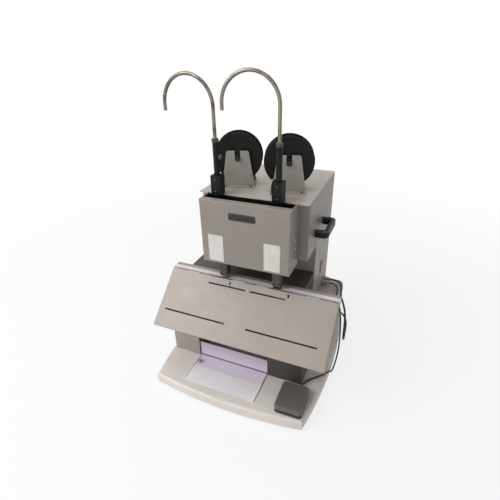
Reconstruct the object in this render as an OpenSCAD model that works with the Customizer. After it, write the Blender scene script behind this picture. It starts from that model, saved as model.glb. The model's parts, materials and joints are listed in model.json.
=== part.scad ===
// Twin head wire stitcher for the bench: it feeds wire from two reels and stitches over a ridge.
// Millimetres, +Z up. The operator stands at -Y. The origin is on the bench, under the middle.

/* [Base] */
// Width of the base across its middle
base_w = 540; // [510:1:560]
// Depth of the base across its middle
base_d = 608; // [600:1:680]
// Height of the base top above the bench
base_top = 38; // [32:1:60]
// Bulge of the front and rear edges
base_bow_front = 21; // [12:1:30]
// Bulge of the side edges
base_bow_side = 27; // [12:1:34]
// Radius of the circles that round the corners
base_corner = 80; // [60:1:100]
// Wall of the base tray
base_wall = 3; // [2:0.5:5]
// Height of the rubber feet
foot_h = 6; // [4:0.5:12]
// Diameter of the rubber feet
foot_d = 36; // [24:1:50]

/* [Housing and column] */
// Width of the low rear housing
housing_w = 480; // [440:1:484]
// Front face of the low rear housing
housing_front = -4; // [-12:1:20]
// Height of the low housing's top above the bench
housing_top = 165; // [150:1:180]
// Corner radius of the low rear housing
housing_corner = 20; // [8:1:30]
// Width of the column and the head
body_w = 336; // [326:1:360]
// Rear face of the column and the head
body_back = 286; // [270:1:290]
// Front face of the column
column_front = 80; // [60:1:95]
// Thickness of bent sheet covers
sheet = 2.5; // [1.5:0.5:4]
// Thickness of the welded frame plates
plate = 8; // [5:0.5:10]

/* [Head] */
// Underside of the head above the bench
head_bottom = 405; // [400:1:420]
// Top of the head above the bench
head_top = 588; // [575:1:620]
// Front face of the head behind its cover
head_front = -25; // [-32:1:-18]
// Width of the front cover
cover_w = 274; // [262:1:310]
// Front face of the front cover
cover_front = -105; // [-125:1:-100]
// Lower edge of the front cover
cover_bottom = 390; // [380:1:404]
// Front edge of the wire trough's opening
trough_front = -84; // [-92:1:-78]
// Rear edge of the wire trough's opening
trough_back = -43; // [-47:1:-40]
// Depth of the wire trough
trough_depth = 30; // [15:1:36]

/* [Ridge and table] */
// Line where the sloped table meets the ridge
ridge_y = -70; // [-76:1:-66]
// Height of the ridge above the bench
ridge_z = 315; // [310:1:319]
// Width of the sloped table
table_w = 560; // [530:1:580]
// Length of the sloped table down its slope
table_l = 200; // [170:1:215]
// Slope of the table at rest
table_slope = 42; // [38:1:46]
// Thickness of the table sheet
table_t = 2.5; // [2:0.5:3]
// Depth of the hinge axis under the table's top
hinge_drop = 7; // [7:0.5:9]
// Diameter of the table's hinge pin
hinge_pin_d = 4; // [3:0.5:5]
// Width of the ruler strip on the ridge
ruler_w = 17; // [12:1:19]
// Rear edge of the flat ridge rail
rail_back = -35; // [-40:1:-30]
// Width of the slots in the table
slot_w = 5; // [2.5:0.5:6]

/* [Stitching heads] */
// Distance of each stitching head from the middle
stitch_x = 88; // [78:1:96]
// Gap between a head's nose and the ridge
stitch_gap = 10; // [6:1:14]
// Width of a stitching head's body
stitch_w = 46; // [36:1:56]
// Width and depth of a head's nose
nose_w = 26; // [20:1:32]
// Width of the former bar
former_w = 10; // [7:0.5:12]
// Travel of the former bar above the nose
former_lift = 20; // [10:1:30]

/* [Wire reels] */
// Distance of each reel from the middle
reel_x = 80; // [79:1:92]
// Shift of both reels to the right
reel_shift = -6; // [-8:1:8]
// Middle of the reels from front to back
reel_y = 67; // [60:1:90]
// Height of the reel axis above the top plate
reel_h = 86; // [83:1:100]
// Diameter of the reel's flanges
reel_d = 146; // [120:1:156]
// Width of a reel
reel_w = 40; // [34:1:44]
// Turn of the reel stands about the vertical
reel_turn = 18; // [0:1:24]
// Diameter of the reel axle
axle_d = 16; // [10:1:20]
// Width of a reel stand at its foot
stand_w = 100; // [80:1:104]
// Width of a reel stand at its top
stand_top_w = 66; // [50:1:76]
// Gap between a reel's flange and its stand
stand_gap = 12; // [9:1:16]
// Turns in the outer layer of wire
wind_turns = 12; // [8:1:12]

/* [Wire guides] */
// Place of the left guide across the machine
guide_left_x = -104; // [-115:1:-95]
// Place of the right guide across the machine
guide_right_x = 82; // [72:1:100]
// Place of both guides from front to back
guide_y = -45; // [-47:1:-43]
// Diameter of a guide tube
guide_d = 10; // [8:0.5:12]
// Bore of a guide tube
guide_bore = 5; // [3:0.5:6]
// Radius of a guide tube's hook
guide_r = 80; // [60:1:85]
// Height of the left hook's centre above the top plate
guide_left_h = 240; // [200:1:260]
// Height of the right hook's centre above the top plate
guide_right_h = 249; // [200:1:260]
// Side of the square guide clamps
clamp_w = 30; // [24:1:34]
// Height of the guide clamps
clamp_h = 58; // [50:1:70]
// Height of the guide sleeves above the clamps
sleeve_h = 99; // [60:1:110]
// Diameter of the tension wheel
wheel_d = 44; // [30:1:46]

/* [Drive] */
// Diameter of the drive shaft
shaft_d = 20; // [16:1:26]
// Radius of the shaft pulley
shaft_pulley_r = 72; // [60:1:75]
// Radius of the motor pulley
motor_pulley_r = 24; // [20:1:30]
// Diameter of the motor
motor_d = 110; // [80:1:120]
// Length of the motor
motor_l = 150; // [120:1:170]

/* [Pedal] */
// Width of the foot pedal
pedal_w = 82; // [76:1:92]
// Depth of the foot pedal
pedal_d = 100; // [90:1:106]
// Height of the foot pedal
pedal_h = 26; // [23:1:34]
// Turn of the foot pedal on the base
pedal_turn = 1; // [0:1:8]
// Diameter of the pedal's hinge pin
pedal_pin_d = 5; // [4:0.5:6]

/* [Catch tray and supports] */
// Left side of the catch tray
tray_left = -150; // [-152:1:-120]
// Right side of the catch tray
tray_right = 90; // [60:1:92]
// Front edge of the catch tray
tray_front = -270; // [-280:1:-240]
// Height of the tray's back wall
tray_wall_h = 57; // [30:1:70]
// Front face of the table supports
support_front = -155; // [-165:1:-145]
// Width of the left table support
support_left_w = 96; // [80:1:100]
// Width of the right table support
support_right_w = 110; // [90:1:120]

/* [Handles and switch] */
// Spread of a side handle's feet
handle_l = 103; // [80:1:120]
// Reach of a side handle out from the head
handle_reach = 42; // [36:1:60]
// Thickness of a side handle
handle_t = 16; // [12:1:18]
// Height of the side handles above the bench
handle_z = 464; // [445:1:520]
// Width of the switch opening
switch_w = 21; // [16:1:26]
// Height of the switch opening
switch_h = 30; // [24:1:36]

/* [Cords] */
// Diameter of the pedal cord
pedal_cord_d = 5; // [4:0.5:5]
// Diameter of the mains cord
mains_cord_d = 7; // [6:0.5:7]

/* [Fits] */
// Radial clearance of running fits
run_fit = 0.06; // [0.03:0.01:0.1]
// Clearance between pieces that pass each other
gap = 0.3; // [0.2:0.1:0.5]

/* [Hidden] */
$fn = 64;

// Places shared by several pieces
body_x = body_w / 2;
housing_x = housing_w / 2;
cover_x = cover_w / 2;
plate_under = head_top - sheet;
frame_in = stitch_x + stitch_w / 2 + 6;
frame_out = frame_in + plate;
base_corner_x = base_w / 2 - base_bow_side;
base_corner_y = base_d / 2 - base_bow_front;
base_front_r = (pow(base_corner_x, 2) + pow(base_bow_front, 2)) / (2 * base_bow_front);
base_side_r = (pow(base_corner_y, 2) + pow(base_bow_side, 2)) / (2 * base_bow_side);
foot_x = base_w / 2 - 80;
foot_y = base_d / 2 - 74;
foot_stud_d = 8;

// Switch and gland places on the column's right side
switch_y = 180;
switch_z = housing_top + 109;
bezel_rim = 3;
gland_ys = [228, 255];
gland_z = housing_top + 13;
gland_d = 16;
gland_l = 26;
gland_collar = 4;

// Fasteners
screw_head_d = 7;
screw_head_h = 1.8;
screw_d = 3.4;
hole_d = screw_d + gap;
cover_screw_zs = [cover_bottom + 27, cover_bottom + 66, cover_bottom + 93];
cover_screw_y = head_front - 30;
rear_screw_zs = [housing_top + 20, (housing_top + head_top) / 2, head_top - 25];
rear_screw_x = body_x - sheet - 12;
top_screw_x = body_x - 32;
top_screw_ys = [head_front + 14, body_back - 20];

// Drive line inside the column and the head
shaft_y = column_front + 60;
shaft_z = (head_bottom + plate + plate_under) / 2;
motor_y = column_front + 100;
motor_z = housing_top + plate + motor_d / 2 + 20;
belt_t = 4;
belt_x0 = frame_out + 6;
belt_x1 = belt_x0 + 16;
bearing_d = shaft_d + 22;
pulley_bore_d = 12;

// Table geometry: the hinge axis lies the same depth under the ridge and under the sloped table
axis_y = ridge_y + hinge_drop * (1 - cos(table_slope)) / sin(table_slope);
axis_z = ridge_z - hinge_drop;
rail_strip = table_t + 0.5;
barrel_r = hinge_drop - rail_strip - gap;
knuckle = 40;
throat_z = axis_z - 2;
throat_t = 6;
support_top = throat_z - throat_t;
stitch_y = axis_y + 7;
stitch_top = head_top - trough_depth - 6;
nose_z = ridge_z + stitch_gap;
table_reach = table_l - hinge_drop * tan(table_slope / 2);
// Height of the table's underside at a place from front to back
function table_under(y) = ridge_z - (ridge_y - y) * tan(table_slope) - table_t / cos(table_slope);

module box(x, y, z) translate([x[0], y[0], z[0]]) cube([x[1] - x[0], y[1] - y[0], z[1] - z[0]]);
module both_sides() {
  children();
  mirror([1, 0, 0]) children();
}
module rod_x(x, y, z, d) translate([x[0], y, z]) rotate([0, 90, 0]) cylinder(d = d, h = x[1] - x[0]);
module rod_y(x, y, z, d) translate([x, y[0], z]) rotate([-90, 0, 0]) cylinder(d = d, h = y[1] - y[0]);
module rod_z(x, y, z, d) translate([x, y, z[0]]) cylinder(d = d, h = z[1] - z[0]);
module round_rect(w, d, r) {
  square([w, d - 2 * r], center = true);
  square([w - 2 * r, d], center = true);
  for (x = [-1, 1], y = [-1, 1]) translate([x * (w / 2 - r), y * (d / 2 - r)]) circle(r);
}

// Base
module base_plan(inset) {
  intersection() {
    translate([0, base_front_r - base_d / 2]) circle(base_front_r - inset, $fn = 400);
    translate([0, base_d / 2 - base_front_r]) circle(base_front_r - inset, $fn = 400);
    translate([base_side_r - base_w / 2, 0]) circle(base_side_r - inset, $fn = 400);
    translate([base_w / 2 - base_side_r, 0]) circle(base_side_r - inset, $fn = 400);
    round_rect(base_w + 2 - 2 * inset, base_d + 2 - 2 * inset, base_corner - inset);
  }
}
module base_shell() color("gainsboro") difference() {
  translate([0, 0, foot_h]) linear_extrude(base_top - foot_h) base_plan(0);
  translate([0, 0, foot_h - 1]) linear_extrude(base_top - foot_h - base_wall + 1) base_plan(base_wall);
}
module base_plate() color("gray") difference() {
  translate([0, 0, foot_h]) linear_extrude(base_wall) base_plan(base_wall + gap);
  for (x = [-foot_x, foot_x], y = [-foot_y, foot_y])
    rod_z(x, y, [foot_h - 1, foot_h + base_wall + 1], foot_stud_d + 2 * gap);
}
module rubber_feet() color("dimgray")
  for (x = [-foot_x, foot_x], y = [-foot_y, foot_y]) {
    rod_z(x, y, [0, foot_h], foot_d);
    rod_z(x, y, [foot_h, foot_h + base_wall + 4], foot_stud_d);
  }

// Low rear housing
module housing_plan(inset) translate([0, (housing_front + body_back) / 2])
  round_rect(housing_w - 2 * inset, body_back - housing_front - 2 * inset, housing_corner - inset);
module rear_housing() color("whitesmoke") difference() {
  translate([0, 0, base_top]) linear_extrude(housing_top - base_top) housing_plan(0);
  translate([0, 0, base_top - 1]) linear_extrude(housing_top - base_top - sheet + 1) housing_plan(sheet);
  rod_z(0, body_back - 50, [housing_top - sheet - 1, housing_top + 1], 30);
  for (i = [-6:6])
    box([i * 14 - 2, i * 14 + 2], [body_back - sheet - 1, body_back + 1], [base_top + 30, housing_top - 35]);
}
module control_board() color("seagreen") {
  box([-90, 60], [60, 160], [base_top + 14, base_top + 16]);
  for (x = [-82, 52], y = [68, 152]) rod_z(x, y, [base_top, base_top + 14], 8);
  box([-70, -20], [80, 130], [base_top + 16, base_top + 52]);
  box([0, 40], [90, 110], [base_top + 16, base_top + 32]);
  for (x = [0, 18, 36]) rod_z(x, 140, [base_top + 16, base_top + 42], 14);
}

// Column
module switch_hole() box([body_x - sheet - plate - 1, body_x + 1],
  [switch_y - switch_w / 2 - bezel_rim, switch_y + switch_w / 2 + bezel_rim],
  [switch_z - switch_h / 2 - bezel_rim, switch_z + switch_h / 2 + bezel_rim]);
module gland_holes() for (y = gland_ys)
  rod_x([body_x - sheet - plate - 1, body_x + 1], y, gland_z, gland_d - 4);
module column_frame() color("dimgray") difference() {
  box([sheet - body_x, body_x - sheet], [column_front, body_back - sheet], [housing_top, head_bottom]);
  box([sheet + plate - body_x, body_x - sheet - plate], [column_front + plate, body_back],
    [housing_top + plate, head_bottom - plate]);
  box([belt_x0 - 4, body_x - sheet - plate], [column_front + plate, motor_y + 35],
    [head_bottom - plate - 1, head_bottom + 1]);
  rod_z(0, body_back - 50, [housing_top - 1, housing_top + plate + 1], 30);
  switch_hole();
  gland_holes();
}
module column_covers() color("tan") difference() {
  both_sides() box([body_x - sheet, body_x], [column_front, body_back], [housing_top, head_bottom]);
  switch_hole();
  gland_holes();
}
module rear_cover() color("tan") difference() {
  box([sheet - body_x, body_x - sheet], [body_back - sheet, body_back], [housing_top, plate_under]);
  for (x = [-rear_screw_x, rear_screw_x], z = rear_screw_zs)
    rod_y(x, [body_back - sheet - 1, body_back + 1], z, hole_d);
  for (i = [0:7]) box([-60, 60], [body_back - sheet - 1, body_back + 1],
    [housing_top + 40 + i * 12, housing_top + 44 + i * 12]);
}

// Ridge, throat and sloped table
module saddle_arm() color("dimgray") {
  box([-58, 58], [rail_back - 20, column_front], [throat_z - 70, throat_z - throat_t]);
  box([-58, 58], [column_front - plate, column_front], [throat_z - 110, throat_z - 70]);
}
module throat_plate() color("dimgray") box([4 - housing_x, body_x], [rail_back - 23, column_front],
  [throat_z - throat_t, throat_z]);
module clincher_windows() for (x = [-stitch_x, stitch_x])
  box([x - nose_w / 2 - gap, x + nose_w / 2 + gap], [axis_y - 1, axis_y + 14], [throat_z, ridge_z + 1]);
module knuckles(odd) for (i = [-6:6]) {
  x = i * (knuckle + gap);
  if (abs(i) % 2 == odd && abs(abs(x) - stitch_x) > nose_w / 2 + knuckle / 2 + 2)
    translate([x - knuckle / 2, 0, 0]) children();
}
module pin_bore() rod_x([-table_w, table_w], axis_y, axis_z, hinge_pin_d + 2 * run_fit);
module ridge_rail() color("tan") difference() {
  union() {
    box([-table_w / 2, table_w / 2], [axis_y, rail_back], [ridge_z - rail_strip, ridge_z]);
    box([-table_w / 2, table_w / 2], [rail_back - 18, rail_back], [throat_z, ridge_z - rail_strip]);
    knuckles(0) {
      rod_x([0, knuckle], axis_y, axis_z, 2 * barrel_r);
      box([0, knuckle], [axis_y, rail_back - 18], [throat_z, axis_z + 2]);
    }
  }
  box([-table_w, table_w], [axis_y + 1, axis_y + 1 + ruler_w], [ridge_z - 1, ridge_z + 1]);
  pin_bore();
  clincher_windows();
}
module ruler_strip() color("white") difference() {
  box([-table_w / 2, table_w / 2], [axis_y + 1, axis_y + 1 + ruler_w], [ridge_z - 1, ridge_z]);
  clincher_windows();
}
module clinchers() color("silver") for (x = [-stitch_x, stitch_x]) difference() {
  box([x - nose_w / 2, x + nose_w / 2], [axis_y, axis_y + 14 - gap], [throat_z, ridge_z]);
  for (s = [-1, 1]) rod_y(x + s * 3.5, [stitch_y - 1.5, stitch_y + 1.5], ridge_z, 5);
  pin_bore();
}
module table_hinge_pin() color("silver") rod_x([-table_w / 2, table_w / 2], axis_y, axis_z, hinge_pin_d);
// Slots in the table: distance from the ridge down the slope, then both ends across
table_slots = [[141, -257, -43], [141, 27, 247], [26, -137, -8], [26, 8, 124]];
// Short notches down the slope: their places across, and both ends as distances from the ridge
notch_xs = [-64, 130];
notch_ends = [9, 20];
lip_h = 8;
module table_place() translate([0, axis_y, axis_z]) rotate([table_slope, 0, 0]) children();
module front_table() color("tan") difference() {
  table_place() difference() {
    union() {
      box([-table_w / 2, table_w / 2], [-table_reach, -gap], [hinge_drop - table_t, hinge_drop]);
      box([-table_w / 2, table_w / 2], [-table_reach, table_t - table_reach],
        [hinge_drop - lip_h, hinge_drop]);
      both_sides() box([table_w / 2 - table_t, table_w / 2], [-table_reach, -30],
        [hinge_drop - lip_h, hinge_drop]);
      knuckles(1) {
        rod_x([0, knuckle], 0, 0, 2 * barrel_r);
        box([0, knuckle], [-7, -gap], [-barrel_r / 2, hinge_drop - table_t + 0.1]);
      }
    }
    for (x = notch_xs) box([x - slot_w / 2, x + slot_w / 2],
      [table_l - table_reach - notch_ends[1], table_l - table_reach - notch_ends[0]],
      [hinge_drop - table_t - 1, hinge_drop + 1]);
    for (s = table_slots) {
      y = table_l - table_reach - s[0];
      box([s[1], s[2]], [y - slot_w / 2, y + slot_w / 2], [hinge_drop - table_t - 1, hinge_drop + 1]);
    }
  }
  pin_bore();
}
support_back = rail_back - 3;
// Sheet box under the table: the inset follows each face inward
module support_profile(inset) {
  top = support_top - inset;
  under = (table_t + gap + inset) / cos(table_slope);
  slope_y = ridge_y - (ridge_z - under - top) / tan(table_slope);
  front = support_front + inset;
  back = support_back - inset;
  low = inset > 0 ? base_top - 1 : base_top;
  front_z = ridge_z - under - (ridge_y - front) * tan(table_slope);
  polygon([[front, low], [back, low], [back, top], [slope_y, top], [front, front_z]]);
}
module table_support(x) difference() {
  translate([x[0], 0, 0]) rotate([90, 0, 90]) linear_extrude(x[1] - x[0]) support_profile(0);
  translate([x[0] + sheet, 0, 0]) rotate([90, 0, 90])
    linear_extrude(x[1] - x[0] - 2 * sheet) support_profile(sheet);
}
side_gap = 4;
module table_support_left() color("gray")
  table_support([tray_left - side_gap - support_left_w, tray_left - side_gap]);
module table_support_right() color("dimgray")
  table_support([tray_right + side_gap, tray_right + side_gap + support_right_w]);

// Catch tray
tray_t = 1.5;
tray_z = base_top + gap;
tray_back = support_front + 5;
module catch_tray() color("white") {
  box([tray_left, tray_right], [tray_front, tray_back], [tray_z, tray_z + tray_t]);
  box([tray_left, tray_right], [tray_back - tray_t, tray_back], [tray_z, tray_z + tray_wall_h]);
  for (x = [tray_left, tray_right - tray_t])
    box([x, x + tray_t], [tray_front, tray_back], [tray_z, tray_z + 4]);
}
knob_x = tray_left + 12;
knob_y = tray_back - 38;
module tray_knob() color("gray") {
  rod_z(knob_x, knob_y, [tray_z + tray_t, tray_z + tray_t + 5], 7);
  rod_z(knob_x, knob_y, [tray_z + tray_t + 5, tray_z + tray_t + 12], 13);
}

// Head
frame_top = plate_under - 12;
module head_frame() color("slategray") difference() {
  union() {
    box([-frame_out, frame_out], [head_front + sheet, head_front + sheet + plate],
      [head_bottom + sheet, frame_top]);
    both_sides() box([frame_in, frame_out], [head_front + sheet, shaft_y + 45],
      [head_bottom + sheet, frame_top]);
    box([-frame_out, frame_out], [column_front, shaft_y + 45], [head_bottom, head_bottom + plate]);
  }
  rod_x([-frame_out - 1, frame_out + 1], shaft_y, shaft_z, bearing_d + 2 * run_fit);
}
module main_housing() color("tan") difference() {
  box([-body_x, body_x], [head_front, body_back], [head_bottom, plate_under]);
  box([sheet - body_x, body_x - sheet], [head_front + sheet, body_back + 1],
    [head_bottom + sheet, plate_under + 1]);
  box([sheet - body_x, body_x - sheet], [column_front, body_back + 1],
    [head_bottom - 1, head_bottom + sheet + 1]);
}
module top_screw_holes(z) for (x = [-top_screw_x, top_screw_x], y = top_screw_ys)
  rod_z(x, y, z, hole_d);
module top_plate() color("linen") difference() {
  box([-body_x, body_x], [trough_back, body_back], [plate_under, head_top]);
  top_screw_holes([plate_under - 1, head_top + 1]);
}
cover_top = head_top + 2;
module front_cover() color("darkgray") difference() {
  box([-cover_x, cover_x], [cover_front, head_front], [cover_bottom, cover_top]);
  box([sheet - cover_x, cover_x - sheet], [cover_front + sheet, head_front + 1],
    [cover_bottom - 1, cover_top - sheet]);
  box([sheet - cover_x, cover_x - sheet], [trough_front, head_front + 1],
    [cover_bottom, cover_top + 1]);
  box([-cover_x - 1, cover_x + 1], [trough_back, head_front + 1], [plate_under, cover_top + 1]);
  for (z = cover_screw_zs) rod_x([-cover_x - 1, cover_x + 1], cover_screw_y, z, hole_d);
}
trough_x = cover_x - sheet - gap;
trough_t = 2;
module wire_trough() color("black") difference() {
  box([-trough_x, trough_x], [trough_front - trough_t, trough_back + trough_t],
    [head_top - trough_depth, plate_under]);
  box([trough_t - trough_x, trough_x - trough_t], [trough_front, trough_back],
    [head_top - trough_depth + trough_t, plate_under + 1]);
  for (x = [-stitch_x, stitch_x])
    rod_z(x, stitch_y, [head_top - trough_depth - 1, head_top - trough_depth + trough_t + 1], 8);
}
name_w = 81;
name_h = 21;
name_x = -4.5;
name_z = head_top - 38.5;
plaque_t = 1.2;
module name_plate() color("black") box([name_x - name_w / 2, name_x + name_w / 2],
  [cover_front - plaque_t, cover_front], [name_z - name_h / 2, name_z + name_h / 2]);
label_w = 49;
label_h = 87;
label_shift = -3;
label_t = 0.6;
module label_plates() color("white") for (x = [-stitch_x + label_shift, stitch_x + label_shift])
  box([x - label_w / 2, x + label_w / 2], [cover_front - label_t, cover_front],
    [cover_bottom + 7, cover_bottom + 7 + label_h]);

// Screws lie with their heads on the cover and their shanks in its holes
module screw() {
  cylinder(d = screw_head_d, h = screw_head_h);
  translate([0, 0, -sheet]) cylinder(d = screw_d, h = sheet);
}
module cover_screws() color("silver") {
  for (z = cover_screw_zs) both_sides()
    translate([cover_x, cover_screw_y, z]) rotate([0, 90, 0]) screw();
  for (x = [-rear_screw_x, rear_screw_x], z = rear_screw_zs)
    translate([x, body_back, z]) rotate([-90, 0, 0]) screw();
  for (x = [-top_screw_x, top_screw_x], y = top_screw_ys) translate([x, y, head_top]) screw();
}

// Stitching heads and their formers
former_d = 8;
module stitch_heads() color("dimgray") for (x = [-stitch_x, stitch_x]) difference() {
  union() {
    box([x - stitch_w / 2, x + stitch_w / 2], [stitch_y - 24, head_front],
      [cover_bottom + 8, stitch_top]);
    box([x - nose_w / 2, x + nose_w / 2], [stitch_y - nose_w / 2, stitch_y + nose_w / 2],
      [nose_z, cover_bottom + 8]);
  }
  box([x - former_w / 2 - gap, x + former_w / 2 + gap],
    [stitch_y - former_d / 2 - gap, stitch_y + former_d / 2 + gap], [nose_z - 1, stitch_top + 1]);
}
module former(x) box([x - former_w / 2, x + former_w / 2],
  [stitch_y - former_d / 2, stitch_y + former_d / 2], [nose_z + former_lift, stitch_top - 10]);
module former_left() color("silver") former(-stitch_x);
module former_right() color("silver") former(stitch_x);

// Tubes swept along a path: the side direction is carried along without twist
function unit(v) = v / norm(v);
function heading(p, i) = unit(p[min(i + 1, len(p) - 1)] - p[max(i - 1, 0)]);
function square_to(v, t) = unit(v - (v * t) * t);
function any_side(t) = square_to(abs(t[2]) < 0.8 ? [0, 0, 1] : [1, 0, 0], t);
function carried(p) = [for (i = 0, s = any_side(heading(p, 0)); i < len(p);
  i = i + 1, s = i < len(p) ? square_to(s, heading(p, i)) : s) s];
module tube(path, d, sides) {
  last = len(path) - 1;
  side = carried(path);
  points = [for (i = [0:last], k = [0:sides - 1])
    let (t = heading(path, i), a = 360 * k / sides)
    path[i] + d / 2 * (cos(a) * side[i] + sin(a) * cross(t, side[i]))];
  walls = [for (i = [0:last - 1], k = [0:sides - 1])
    let (n = (k + 1) % sides, a = i * sides, b = a + sides)
    each [[a + k, b + k, a + n], [a + n, b + k, b + n]]];
  starts = [for (k = [1:sides - 2]) [0, k, k + 1]];
  ends = [for (k = [1:sides - 2]) [last * sides, last * sides + k + 1, last * sides + k]];
  polyhedron(points, concat(walls, starts, ends));
}
// Rounded route through chosen points
function between(p, i, t) =
  let (a = p[max(i - 1, 0)], b = p[i], c = p[i + 1], d = p[min(i + 2, len(p) - 1)])
  0.5 * (2 * b + (c - a) * t + (2 * a - 5 * b + 4 * c - d) * t * t + (3 * b - a - 3 * c + d) * t * t * t);
function rounded(p, steps) =
  concat([for (i = [0:len(p) - 2], j = [0:steps - 1]) between(p, i, j / steps)], [p[len(p) - 1]]);
// Least gap between turns of one tube, between rings at least half a turn apart
function self_gap(p, skip, d) =
  min([for (i = [0:len(p) - 1 - skip], j = [i + skip:len(p) - 1]) norm(p[i] - p[j])]) - d;

// Wire reels on their stands
flange_t = 2.5;
hub_d = 60;
stand_t = 3;
stand_rise = 23;
stand_in = reel_w / 2 + stand_gap;
stand_foot = 18;
collar_d = axle_d + 8;
module reel_place(side) translate([reel_shift + side * reel_x, reel_y, head_top + reel_h])
  rotate([0, 0, reel_turn]) children();
module stand_plate() rotate([90, 0, 0]) linear_extrude(stand_t) difference() {
  polygon([[-stand_w / 2, -reel_h], [stand_w / 2, -reel_h],
    [stand_top_w / 2, stand_rise], [-stand_top_w / 2, stand_rise]]);
  circle(d = axle_d + 2 * run_fit);
  translate([-axle_d / 2 - run_fit, 0]) square([axle_d + 2 * run_fit, stand_rise + 1]);
}
module reel_stands() color("gray") for (side = [-1, 1]) reel_place(side) {
  translate([0, -stand_in, 0]) stand_plate();
  translate([0, stand_in + stand_t, 0]) stand_plate();
  box([-stand_w / 2, stand_w / 2], [-stand_in - stand_foot, -stand_in], [-reel_h, stand_t - reel_h]);
  box([-stand_w / 2, stand_w / 2], [stand_in, stand_in + stand_foot], [-reel_h, stand_t - reel_h]);
}
module reel_axles() color("silver") for (side = [-1, 1]) reel_place(side) {
  rod_y(0, [-stand_in - stand_t - 5, stand_in + stand_t + 5], 0, axle_d);
  for (y = [-reel_w / 2 - gap - 5, reel_w / 2 + gap]) rod_y(0, [y, y + 5], 0, collar_d);
}
module spool(side) reel_place(side) rotate([90, 0, 0]) rotate_extrude() polygon([
  [axle_d / 2 + run_fit, -reel_w / 2], [reel_d / 2, -reel_w / 2], [reel_d / 2, flange_t - reel_w / 2],
  [hub_d / 2, flange_t - reel_w / 2], [hub_d / 2, reel_w / 2 - flange_t], [reel_d / 2, reel_w / 2 - flange_t],
  [reel_d / 2, reel_w / 2], [axle_d / 2 + run_fit, reel_w / 2]]);
module spool_left() color("black") spool(-1);
module spool_right() color("black") spool(1);
// Outer layer of wire over a plain core
wind_pitch = (reel_w - 2 * flange_t - 2 * gap) / (wind_turns + 1);
wind_d = wind_pitch - 0.5;
wind_r = reel_d / 2 - 8 - wind_d / 2;
wind_rings = 20;
core_d = 2 * (wind_r * cos(180 / wind_rings) - wind_d / 2 - 0.05);
function wind_point(i) = let (a = 360 * i / wind_rings)
  [wind_r * cos(a), wind_pitch * (i / wind_rings - wind_turns / 2), wind_r * sin(a)];
wind_loops = [for (i = [0:wind_turns * wind_rings]) wind_point(i)];
wind_last = len(wind_loops) - 1;
wind_path = concat([wind_loops[0] - wind_d * unit(wind_loops[1] - wind_loops[0])], wind_loops,
  [wind_loops[wind_last] + wind_d * unit(wind_loops[wind_last] - wind_loops[wind_last - 1])]);
module wire_winding(side) reel_place(side) {
  echo(winding_gap = self_gap(wind_path, wind_rings / 2, wind_d));
  tube(wind_path, wind_d, 6);
  difference() {
    rod_y(0, [flange_t + gap - reel_w / 2, reel_w / 2 - flange_t - gap], 0, core_d);
    rod_y(0, [-reel_w, reel_w], 0, hub_d + 2 * run_fit);
  }
}
module wire_winding_left() color("goldenrod") wire_winding(-1);
module wire_winding_right() color("goldenrod") wire_winding(1);

// Wire guides
guide_foot = head_top + 5;
guide_left_turn = -5;
guide_right_turn = 0;
guide_end = 16;
sleeve_d = guide_d + 7;
clamp_top = head_top + clamp_h;
thumb_z = clamp_top + 51;
thumb_d = 5;
wheel_z = head_top + 40;
wheel_t = 5;
wheel_pin_d = 8;
wheel_x = guide_right_x - clamp_w / 2 - gap;
module thumb_shank(x, d) rod_x(x, guide_y, thumb_z, d);
module wheel_pin(depth, d)
  rod_x([wheel_x - gap, guide_right_x - clamp_w / 2 + depth], guide_y, wheel_z, d);
module guide_clamps() color("black") difference() {
  for (x = [guide_left_x, guide_right_x]) difference() {
    union() {
      box([x - clamp_w / 2, x + clamp_w / 2], [guide_y - clamp_w / 2, guide_y + clamp_w / 2],
        [head_top, clamp_top]);
      rod_z(x, guide_y, [clamp_top, clamp_top + sleeve_h], sleeve_d);
    }
    rod_z(x, guide_y, [guide_foot, clamp_top + sleeve_h + 1], guide_d + 2 * run_fit);
  }
  thumb_shank([guide_left_x, guide_left_x + sleeve_d], thumb_d + 2 * run_fit);
  wheel_pin(6 + gap, wheel_pin_d + 2 * run_fit);
}
module ring_section() difference() {
  circle(d = guide_d);
  circle(d = guide_bore);
}
module guide_tube(x, h, turn) translate([x, guide_y, head_top + h]) rotate([0, 0, turn]) {
  translate([0, 0, guide_foot + gap - head_top - h])
    linear_extrude(head_top + h - guide_foot - gap) ring_section();
  translate([-guide_r, 0, 0]) rotate([90, 0, 0])
    rotate_extrude(angle = 180) translate([guide_r, 0]) ring_section();
  translate([-2 * guide_r, 0, -guide_end]) linear_extrude(guide_end) ring_section();
}
module guide_tube_left() color("silver") guide_tube(guide_left_x, guide_left_h, guide_left_turn);
module guide_tube_right() color("silver") guide_tube(guide_right_x, guide_right_h, guide_right_turn);
module thumb_screw() color("gray") {
  thumb_shank([guide_left_x + guide_d / 2 + gap, guide_left_x + sleeve_d / 2 + gap], thumb_d);
  thumb_shank([guide_left_x + sleeve_d / 2 + gap, guide_left_x + sleeve_d / 2 + gap + 9], 13);
}
module tension_wheel() color("gray") {
  rod_x([wheel_x - wheel_t, wheel_x], guide_y, wheel_z, wheel_d);
  rod_x([wheel_x - wheel_t - 6, wheel_x - wheel_t], guide_y, wheel_z, 14);
  wheel_pin(6, wheel_pin_d);
}

// Side handles
handle_y = head_front + 125;
handle_tall = 24;
handle_round = 16;
// Half of a rounded ring, open towards the head
module handle_half(reach, l, r) intersection() {
  round_rect(2 * reach, l, r);
  translate([0, -l]) square([reach + 1, 2 * l]);
}
module handle() color("black") translate([body_x, handle_y, handle_z - handle_tall / 2])
  linear_extrude(handle_tall) difference() {
    handle_half(handle_reach, handle_l + handle_t, handle_round);
    translate([-1, 0]) handle_half(handle_reach - handle_t + 1, handle_l - handle_t, handle_round / 2);
  }
module handle_right() handle();
module handle_left() mirror([1, 0, 0]) handle();

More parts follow.
